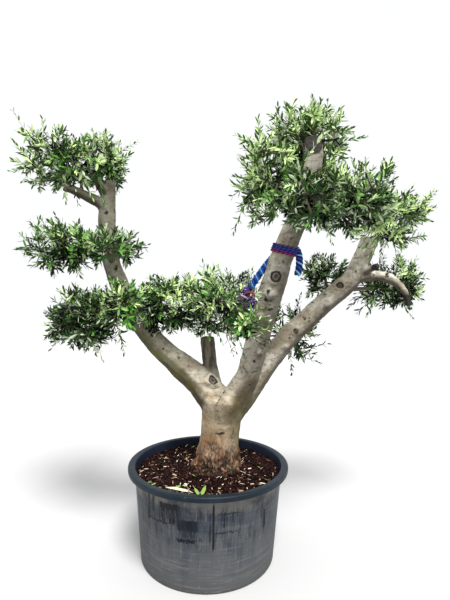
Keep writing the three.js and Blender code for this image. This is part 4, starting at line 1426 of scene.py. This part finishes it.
def litter_mesh(foliage):
    """Fallen leaves: dry ones gathered at the front rim, and a few green ones."""
    draw = random.Random(LITTER["seed"])
    leaves = []
    for i in range(LITTER["count"]):
        if i < LITTER["at_rim"]:
            turn = math.radians(draw.uniform(*LITTER["rim_angles"]))
            radius = draw.uniform(*LITTER["rim_radius"])
        else:
            turn, radius = draw.uniform(0, 2 * math.pi), draw.uniform(*LITTER["radius"])
        x, y = radius * math.cos(turn), radius * math.sin(turn)
        heading = draw.uniform(0, 2 * math.pi)
        way = unit(np.array((math.cos(heading), math.sin(heading), draw.gauss(0, 0.12))))
        face = unit(np.array((draw.gauss(0, 0.3), draw.gauss(0, 0.3), 1)))
        place = np.array((x, y, soil_height(x, y) + draw.uniform(0.006, 0.012)))
        reach = place + 0.05 * way
        if math.hypot(reach[0], reach[1]) > LITTER["reach"]:
            way = -way
        tint = GREEN_TINT if i % LITTER["green_every"] == 0 else draw.choice(DRY_TINTS)
        length, breadth = draw.uniform(*LITTER["length"]), draw.uniform(*LITTER["breadth"])
        leaves.append((place, way, face, length, tint, breadth))
    for place, heading, lift, length, tint, breadth in LOOSE_LEAVES:
        way = unit(np.array((math.cos(heading), math.sin(heading), lift)))
        face = unit(np.array((0.2, -0.5, 1)))
        leaves.append((np.array(place), way, face, length, tint, breadth))
    colours = enumerate(LITTER_COLOURS)
    materials = [plain(f"litter_{i}", colour, 0.7, 0.3) for i, colour in colours]
    return leaf_mesh("fallen_leaves", leaves, foliage, materials, draw)


class OLIVE_OT_soil(bpy.types.Operator):
    """Soil under bark mulch, chips and fallen leaves"""

    bl_idname = "olive.soil"
    bl_label = "Soil"

    def execute(self, context):
        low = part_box("soil")[0]
        corner, edge = 0.32, POT["neck"] - POT["wall"] - 0.0015
        outline = rise((0, low.z), (corner - 0.02, low.z), 2) + [(corner, low.z + 0.02)]
        outline += rise((edge, SOIL["edge"]), (0, SOIL["edge"]), 70)
        piece = spun("mulch_bed", outline, 180)
        points = vectors_of(piece.data)
        surface = points[:, 2] > 0.4
        points[surface, 2] = [soil_height(x, y) for x, y, _ in points[surface]]
        move_vertices(piece.data, points)
        piece.data.materials.append(soil_finish())
        put_in_place(piece, "soil", "soil")
        put_in_place(chips_mesh(), "soil")
        put_in_place(litter_mesh(context.scene.olive_foliage), "soil")
        return {"FINISHED"}


# The rope: its band, its hanging end and its cord, in metres, chosen on the photograph.
ROPE = {
    "strand": 0.0050,
    "middle": (0.349, -0.128, 1.513),
    "axis": (0.22, -0.16, 0.96),
    "steps": 72,
    "turns": 18,
    "end": [(0.409, -0.125, 1.517), (0.438, -0.122, 1.475), (0.417, -0.118, 1.393)],
    "cord": [(0.300, -0.100, 1.478), (0.252, -0.112, 1.425), (0.180, -0.086, 1.306)],
    "bundle": (0.174, -0.084, 1.265),
    "loops": 16,
    "seed": 8,
}

# The two colours of each row of the band, the strands of its end and of its cord as colour and
# radius in strands, and the colours of the bundle's loops.
BAND_ROWS = ((0, 3), (0, 4), (1, 0), (4, 0))
END_STRANDS = ((0, 1.5), (2, 1.2), (0, 1.5), (1, 1.2))
CORD_STRANDS = ((1, 1.5), (2, 1.1), (1, 1.5), (0, 1.2))
LOOP_COLOURS = (4, 5, 0, 4, 3, 4)
ROPE_COLOURS = {
    "rope_navy": srgb(26, 28, 92),
    "rope_blue": srgb(26, 76, 164),
    "rope_sky": srgb(112, 182, 222),
    "rope_red": srgb(176, 44, 72),
    "rope_violet": srgb(92, 56, 140),
    "rope_lilac": srgb(196, 160, 204),
}


def plait(tubes, path, strands, turns, offset, flatten=0.8, outs=None):
    """Strands of given colours and radii twisted round a path."""
    last = len(path) - 1
    for k, (colour, radius) in enumerate(strands):
        route = []
        for i, centre in enumerate(path):
            tangent = unit(path[min(i + 1, last)] - path[max(i - 1, 0)])
            across = unit(np.cross(tangent, outs[i] if outs else (0.1, -1, 0.05)))
            over = np.cross(across, tangent)
            turn = 2 * math.pi * (turns * i / last + k / len(strands))
            aside = math.cos(turn) * across + flatten * math.sin(turn) * over
            route.append(centre + offset * aside)
        radius = radius * ROPE["strand"]
        tubes.add(route, radius, radius, 6, colour)


def band_tubes(tree):
    """Rows of paired strands round the bough, laid on its bark."""
    strand = ROPE["strand"]
    axis = unit(np.array(ROPE["axis"]))
    aside = unit(np.cross(axis, (0, 1, 0)))
    ahead = np.cross(axis, aside)
    tubes = Tubes()
    for row, colours in enumerate(BAND_ROWS):
        centre = np.array(ROPE["middle"]) + axis * (row - 1.5) * 2.1 * strand
        path, outs = [], []
        for i in range(ROPE["steps"] + 1):
            turn = 2 * math.pi * i / ROPE["steps"]
            out = math.cos(turn) * aside + math.sin(turn) * ahead
            hit = tree.ray_cast(Vector(centre + out * 0.2), Vector(-out))[0]
            outs.append(out)
            path.append(np.array(hit) + out * strand * 1.1)
        strands = [(colour, 0.62) for colour in colours]
        plait(tubes, path, strands, ROPE["turns"], strand * 0.55, 1.0, outs)
    return tubes


def hanging_tubes():
    """The loose end, the cord and the bundle of loops at its foot."""
    strand = ROPE["strand"]
    tubes = Tubes()
    end, cord = ([np.array(point) for point in ROPE[name]] for name in ("end", "cord"))
    plait(tubes, curve(*end, 50), END_STRANDS, 3.2, strand * 2.2)
    plait(tubes, curve(*cord, 60), CORD_STRANDS, 6, strand * 2.1)
    draw = random.Random(ROPE["seed"])
    turns = np.linspace(0, 1.5 * math.pi, 14)
    for i in range(ROPE["loops"]):
        way = unit(np.array((draw.gauss(0, 1), draw.gauss(0, 0.7), draw.gauss(0, 0.6))))
        side = unit(np.cross(way, (0.2, 0.5, 0.8)))
        shift = np.array((draw.gauss(0, 0.014), draw.gauss(0, 0.008), draw.gauss(0, 0.024)))
        centre = np.array(ROPE["bundle"]) + shift
        loop = [centre + 0.028 * (math.cos(t) * way + 0.8 * math.sin(t) * side) for t in turns]
        tubes.add(loop, strand, strand * 0.8, 6, LOOP_COLOURS[i % len(LOOP_COLOURS)])
    return tubes


class OLIVE_OT_rope(bpy.types.Operator):
    """The braided rope tied round the centre bough"""

    bl_idname = "olive.rope"
    bl_label = "Rope"

    def execute(self, context):
        band = band_tubes(tree_of(bpy.data.objects["bark"]))
        materials = [rope_finish(name, colour) for name, colour in ROPE_COLOURS.items()]
        put_in_place(band.piece("rope_band", materials), "rope", "tie_band")
        put_in_place(hanging_tubes().piece("rope_ends", materials), "rope", "tie_cord")
        return {"FINISHED"}


def rope_finish(name, colour):
    """Woven fibre: fine ribs and a little wear."""
    finish = Finish(name)
    weave = finish.noise(420, 3, 0.6)
    dark = (*(0.45 * part for part in colour[:3]), 1)
    shade = finish.mix(finish.step(weave, 0.35, 0.7) * 0.35, colour, dark)
    return finish.done(base_color=shade, roughness=0.85, normal=finish.bump(weave, 0.001))


# The studio: floor radius, strength of the backdrop, strength of the sun and its angles in degrees.
STAGE = {"radius": 30, "backdrop": 1.02, "sun": 4.4, "tilt": 30, "turn": 18, "softness": 20}
SENSOR = 36


class OLIVE_OT_stage(bpy.types.Operator):
    """Pale floor, soft light and the camera"""

    bl_idname = "olive.stage"
    bl_label = "Stage"

    def execute(self, context):
        bpy.ops.mesh.primitive_circle_add(vertices=96, radius=STAGE["radius"], fill_type="NGON")
        floor = context.object
        floor.name = "floor"
        floor.data.materials.append(plain("pale_floor", (0.5, 0.5, 0.495, 1), 0.9, 0.1))
        world = bpy.data.worlds.new("studio")
        context.scene.world = world
        world.use_nodes = True
        backdrop = world.node_tree.nodes["Background"]
        backdrop.inputs["Color"].default_value = (0.98, 0.99, 1.0, 1)
        backdrop.inputs["Strength"].default_value = STAGE["backdrop"]
        context.scene.view_settings.view_transform = "Standard"
        turns = (math.radians(STAGE["tilt"]), 0, math.radians(STAGE["turn"]))
        bpy.ops.object.light_add(type="SUN", rotation=turns)
        context.object.data.energy = STAGE["sun"]
        context.object.data.angle = math.radians(STAGE["softness"])
        settings = context.scene.olive_camera
        turns = (math.pi / 2, -settings.roll, 0)
        bpy.ops.object.camera_add(location=settings.eye, rotation=turns)
        camera = context.object
        camera.data.sensor_width = SENSOR
        camera.data.lens = PHOTO["focal"] / PHOTO["height"] * SENSOR
        context.scene.camera = camera
        return {"FINISHED"}


class OLIVE_PT_panel(bpy.types.Panel):
    """The steps that build the tree, in order"""

    bl_label = "Olive Tree"
    bl_idname = "OLIVE_PT_panel"
    bl_space_type = "VIEW_3D"
    bl_region_type = "UI"
    bl_category = "Olive"

    def draw(self, context):
        for operator in OPERATORS:
            self.layout.operator(operator.bl_idname)


SETTINGS = {
    "olive_camera": CameraSettings,
    "olive_bark": BarkSettings,
    "olive_foliage": FoliageSettings,
}
OPERATORS = [
    OLIVE_OT_stage,
    OLIVE_OT_bark,
    OLIVE_OT_pot,
    OLIVE_OT_soil,
    OLIVE_OT_rope,
    OLIVE_OT_foliage,
]


def register():
    for group in SETTINGS.values():
        bpy.utils.register_class(group)
    for operator in OPERATORS:
        bpy.utils.register_class(operator)
    bpy.utils.register_class(OLIVE_PT_panel)
    for name, group in SETTINGS.items():
        setattr(bpy.types.Scene, name, PointerProperty(type=group))


def unregister():
    for name in SETTINGS:
        delattr(bpy.types.Scene, name)
    bpy.utils.unregister_class(OLIVE_PT_panel)
    for kind in [*OPERATORS, *SETTINGS.values()]:
        bpy.utils.unregister_class(kind)


def main():
    register()
    bpy.ops.olive.stage()
    bpy.ops.olive.bark()
    bpy.ops.olive.pot()
    bpy.ops.olive.soil()
    bpy.ops.olive.rope()
    bpy.ops.olive.foliage()


if __name__ == "__main__":
    main()
